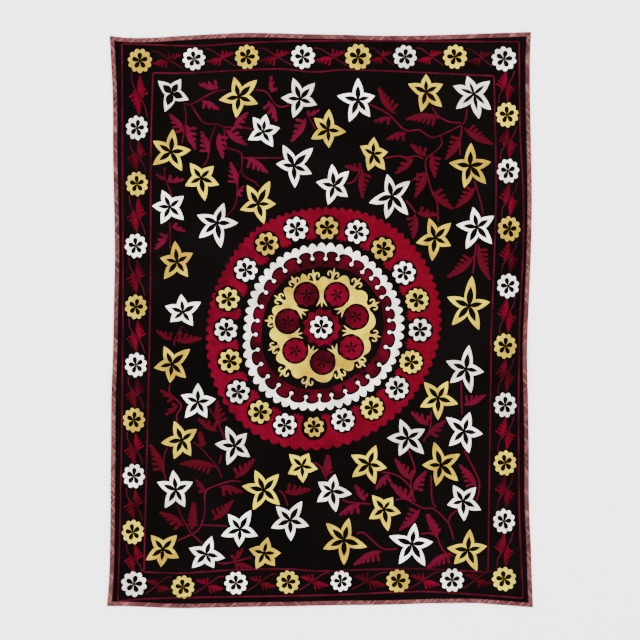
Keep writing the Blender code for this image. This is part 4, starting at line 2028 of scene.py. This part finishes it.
def new_material(name: str) -> tuple[Material, Graph, bpy.types.Node]:
    """Makes a material with a Principled shader.

    Args:
        name: The finish's name.

    Returns:
        The material, its graph, and its shader node.
    """
    made = bpy.data.materials.new(name)
    made.use_nodes = True
    return made, Graph(made.node_tree), made.node_tree.nodes["Principled BSDF"]


@dataclass(frozen=True)
class Relief:
    """How rough, shiny and deep a fibre's face is."""

    roughness: float
    rough_spread: float
    shine: float
    fibre: float
    strength: float
    depth: float
    sheen: float = 0.0


class Fibre:
    """A new material of fibre: its make's own group, its uneven dye, and its relief."""

    def __init__(self, effects: Effects, name: str, make: str, sizes: Place) -> None:
        """Makes the material, with its run, its place and the two shared groups.

        Args:
            effects: The shared node groups.
            name: The finish's name.
            make: The group that says how the fibre is worked.
            sizes: The drifts and the flecks in its dye, per metre.
        """
        self.material, self.graph, self.shader = new_material(name)
        run = self.graph.node("UVMap")
        run.uv_map = "run"
        self.run = run.outputs[0]
        self.spot = self.graph.node("TexCoord").outputs["Object"]
        self.made = effects.place(self.graph, make, Run=self.run)
        self.dyed = effects.place(
            self.graph, "hand_dyed", Place=self.spot, Drift_size=sizes[0], Fleck_size=sizes[1]
        )

    def finished(self, colour: Socket, relief: Relief) -> Material:
        """Gives the material its colour and its relief.

        Args:
            colour: Its colour.
            relief: How its face is.

        Returns:
            The material.
        """
        graph, inputs = self.graph, self.shader.inputs
        graph.put(inputs["Base Color"], colour)
        graph.put(inputs["Roughness"], graph.scaled(self.dyed[1], relief.rough_spread, relief.roughness))
        inputs["Specular IOR Level"].default_value = relief.shine
        inputs["Sheen Weight"].default_value = relief.sheen
        height = graph.scaled(self.dyed[2], relief.fibre, self.made["Height"])
        bumped = graph.node("Bump", Height=height, Strength=relief.strength, Distance=relief.depth)
        graph.put(inputs["Normal"], bumped.outputs[0])
        return self.material


@dataclass(frozen=True)
class ThreadFinish:
    """Dyed, loosely twisted thread in close chain stitch."""

    name: str
    deep: Colour
    light: Colour
    warm: Colour
    pale_edge: float = 0.0
    pale: Colour = dye(226, 214, 170)
    # Painted shade: how much darker a band's outer 1.9 mm is, where the stitching rounds over at its edge.
    rim: float = 0.0
    relief: Relief = Relief(
        roughness=0.72, rough_spread=0.12, shine=0.01, fibre=0.18, strength=0.55, depth=0.0007
    )

    def material(self, effects: Effects) -> Material:
        """Builds the finish: dye by motif, drifts and flecks in it, the rows and links of stitching, and
        painted shade in their seams and at the bands' edges.

        Args:
            effects: The shared node groups.

        Returns:
            The material.
        """
        fibre = Fibre(effects, self.name, "chain_stitch", (11.0, 170.0))
        graph, drift, fleck = fibre.graph, fibre.dyed[0], fibre.dyed[1]
        marks = {}
        for label in ("shade", "warmth"):
            mark = graph.node("Attribute")
            mark.attribute_name = label
            marks[label] = mark.outputs["Fac"]
        shade = graph.sum("ADD", marks["shade"], graph.scaled(drift, 0.9, -0.45))
        colour = graph.blend(shade, self.deep, self.light)
        colour = graph.blend(graph.times(marks["warmth"], 0.8), colour, self.warm)
        inward = graph.parts(fibre.run)[0]
        if self.pale_edge:
            colour = graph.blend(graph.ramp(inward, 0.0004, 0.0028, self.pale_edge, 0.0), colour, self.pale)
        # A grey that the dye is multiplied by: each link's own tone, painted shade at the band's edges,
        # flecks in the dye, and painted shade in the seams.
        light = graph.scaled(fibre.made["Tint"], 0.20, 0.87)
        # Painted shade: darker by rim at the band's edge, fading out 1.9 mm in, where the stitching rounds
        # over.
        light = graph.times(light, graph.ramp(inward, 0.0, 0.0019, 1.0 - self.rim, 1.0))
        light = graph.times(light, graph.scaled(fleck, 0.16, 0.91))
        # Painted shade: up to a fifth darker in the seams between rows and links.
        light = graph.times(light, graph.scaled(fibre.made["Seam"], -0.20, 1.0))
        grey = graph.node("CombineColor", Red=light, Green=light, Blue=light)
        return fibre.finished(graph.blend(1.0, colour, grey.outputs[0], "MULTIPLY"), self.relief)


@dataclass(frozen=True)
class CottonFinish:
    """Matt black plain-woven cotton, a little dusty and worn paler in broad drifts."""

    name: str = "black_cotton"
    black: Colour = dye(4, 2.8, 2.8)
    faded: Colour = dye(10.5, 6.9, 6.9)
    # Painted shade for the gaps between the weave's threads.
    gap: Colour = dye(2, 1.7, 1.7)
    lint: Colour = dye(39, 33, 33)
    relief: Relief = Relief(
        roughness=0.86, rough_spread=0.08, shine=0.01, fibre=0.3, strength=0.35, depth=0.0003
    )

    def material(self, effects: Effects) -> Material:
        """Builds the finish: fading in drifts, the weave with painted shade in its gaps, and sparse lint.

        Args:
            effects: The shared node groups.

        Returns:
            The material.
        """
        fibre = Fibre(effects, self.name, "plain_weave", (3.0, 60.0))
        graph, drift, fleck = fibre.graph, fibre.dyed[0], fibre.dyed[1]
        worn = graph.scaled(fleck, 0.25, graph.times(drift, 0.55))
        colour = graph.blend(worn, self.black, self.faded)
        # Painted shade: up to 0.35 of the way to the gap colour in the low gaps between threads.
        colour = graph.blend(graph.times(fibre.made["Painted_gap_shade"], 0.35), colour, self.gap)
        specks = graph.node("TexVoronoi", Vector=fibre.spot, Scale=95.0).outputs
        near = graph.ramp(specks["Distance"], 0.03, 0.09, 1.0, 0.0)
        chance = graph.node("SeparateColor", Color=specks["Color"]).outputs[0]
        rare = graph.sum("GREATER_THAN", chance, 0.93)
        colour = graph.blend(graph.times(graph.times(near, rare), 0.4), colour, self.lint)
        return fibre.finished(colour, self.relief)


@dataclass(frozen=True)
class BraidFinish:
    """The edge braid's soft strands: dull pink, with dark red and pale ones among them."""

    name: str = "pink_braid"
    pink: Colour = dye(68, 33, 33)
    dark: Colour = dye(44, 5, 15)
    pale: Colour = dye(148, 92, 90)
    # Painted shade for the grooves between strands.
    painted_groove_shade: Colour = dye(34, 7.3, 10.8)
    relief: Relief = Relief(
        roughness=0.74, rough_spread=0.10, shine=0.04, fibre=0.3, strength=0.4, depth=0.0008, sheen=0.01
    )

    def material(self, effects: Effects) -> Material:
        """Builds the finish: each strand's own colour, painted shade in the grooves between, and fibre.

        Args:
            effects: The shared node groups.

        Returns:
            The material.
        """
        fibre = Fibre(effects, self.name, "braid_strands", (14.0, 220.0))
        graph, drift, fleck = fibre.graph, fibre.dyed[0], fibre.dyed[1]
        which, inset = fibre.made["Which"], graph.parts(fibre.run)[0]
        colour = self.pink
        for share, over in (
            (graph.ramp(which, 0.20, 0.30, 0.8, 0.0), self.dark),
            (graph.ramp(which, 0.78, 0.84, 0.0, 0.8), self.pale),
            (graph.ramp(inset, 0.0120, 0.0155, 0.0, 0.6), self.dark),
            (graph.times(drift, 0.25), self.pale),
            (graph.times(fleck, 0.30), self.dark),
            # Painted shade in the grooves between strands.
            (graph.times(fibre.made["Painted_groove_shade"], 0.65), self.painted_groove_shade),
        ):
            colour = graph.blend(share, colour, over)
        return fibre.finished(colour, self.relief)


THREAD_FINISHES = (
    # rim gives the white and yellow bands painted shade at their edges.
    ThreadFinish("white_thread", dye(190, 184, 172), dye(243, 239, 229), dye(231, 215, 191), rim=0.55),
    ThreadFinish(
        "yellow_thread", dye(146, 116, 5), dye(194, 174, 2), dye(170, 124, 1.5), pale_edge=0.26, rim=0.55
    ),
    ThreadFinish("red_thread", dye(34, 2.6, 6.5), dye(78, 4.7, 21), dye(77, 5.3, 16.4)),
    ThreadFinish("maroon_thread", dye(41, 4.1, 10.8), dye(70, 7.6, 27), dye(55, 4.6, 12.9)),
)


@dataclass(frozen=True)
class Studio:
    """The pale floor, the soft lights and the camera straight above."""

    camera_height: float = 5.289
    lens: float = 85.0
    sensor: float = 36.0
    floor_size: float = 14.0
    floor_level: float = -0.0004
    pale: Colour = (0.93, 0.93, 0.93, 1.0)
    sky: float = 3.0
    lamps: tuple[Lamp, ...] = (
        Lamp(-4.0, 4.6, 6.2, 780.0, 3.2),
        Lamp(5.2, 1.8, 6.4, 315.0, 4.0),
        Lamp(0.4, -5.8, 6.2, 285.0, 4.0),
    )

    def floor(self) -> None:
        """Lays a plain pale floor under the cloth."""
        half = self.floor_size / 2
        corners = np.array([(-half, -half), (half, -half), (half, half), (-half, half)])
        points = np.concatenate((corners, np.full((4, 1), self.floor_level)), 1)
        made, _, shader = new_material("pale_floor")
        shader.inputs["Base Color"].default_value = self.pale
        shader.inputs["Roughness"].default_value = 0.9
        shader.inputs["Specular IOR Level"].default_value = 0.1
        joined(points, [[0, 1, 2, 3]], "floor", [made])

    def lights(self) -> None:
        """Hangs soft square lamps round the cloth, with a pale sky for fill."""
        for number, row in enumerate(self.lamps):
            lamp = bpy.data.lights.new(f"lamp_{number}", "AREA")
            lamp.energy, lamp.size = row.power, row.size
            made = bpy.data.objects.new(lamp.name, lamp)
            made.location = (row.x, row.y, row.z)
            made.rotation_euler = Vector((-row.x, -row.y, -row.z)).to_track_quat("-Z", "Y").to_euler()
            bpy.context.scene.collection.objects.link(made)
        world = bpy.data.worlds.new("pale_room")
        world.use_nodes = True
        background = world.node_tree.nodes["Background"].inputs
        background[0].default_value = (1.0, 1.0, 1.0, 1.0)
        background[1].default_value = self.sky
        bpy.context.scene.world = world

    def camera(self) -> None:
        """Sets the camera straight above the cloth's middle, with +Y up the picture."""
        lens = bpy.data.cameras.new("camera")
        lens.lens, lens.sensor_width = self.lens, self.sensor
        made = bpy.data.objects.new("camera", lens)
        made.location = (0.0, 0.0, self.camera_height)
        bpy.context.scene.collection.objects.link(made)
        bpy.context.scene.camera = made

    def build(self) -> None:
        """Sets out the floor, the lights and the camera."""
        self.floor()
        self.lights()
        self.camera()


def main() -> None:
    logging.basicConfig(level=logging.INFO, format="%(message)s")
    cloth, effects = LaidCloth(), Effects()
    threads = [finish.material(effects) for finish in THREAD_FINISHES]
    sheet = GroundCloth(cloth, CottonFinish().material(effects)).build()
    braids = EdgeBraid(cloth, BraidFinish().material(effects)).build()
    sewn = [
        StarFlowers(Needlework("star_flowers", cloth, threads)).build(),
        Foliage(Needlework("vines_and_leaves", cloth, threads)).build(),
        Border(Needlework("border", cloth, threads)).build(),
        Medallion(Needlework("medallion", cloth, threads)).build(),
    ]
    Studio().build()


if __name__ == "__main__":
    main()
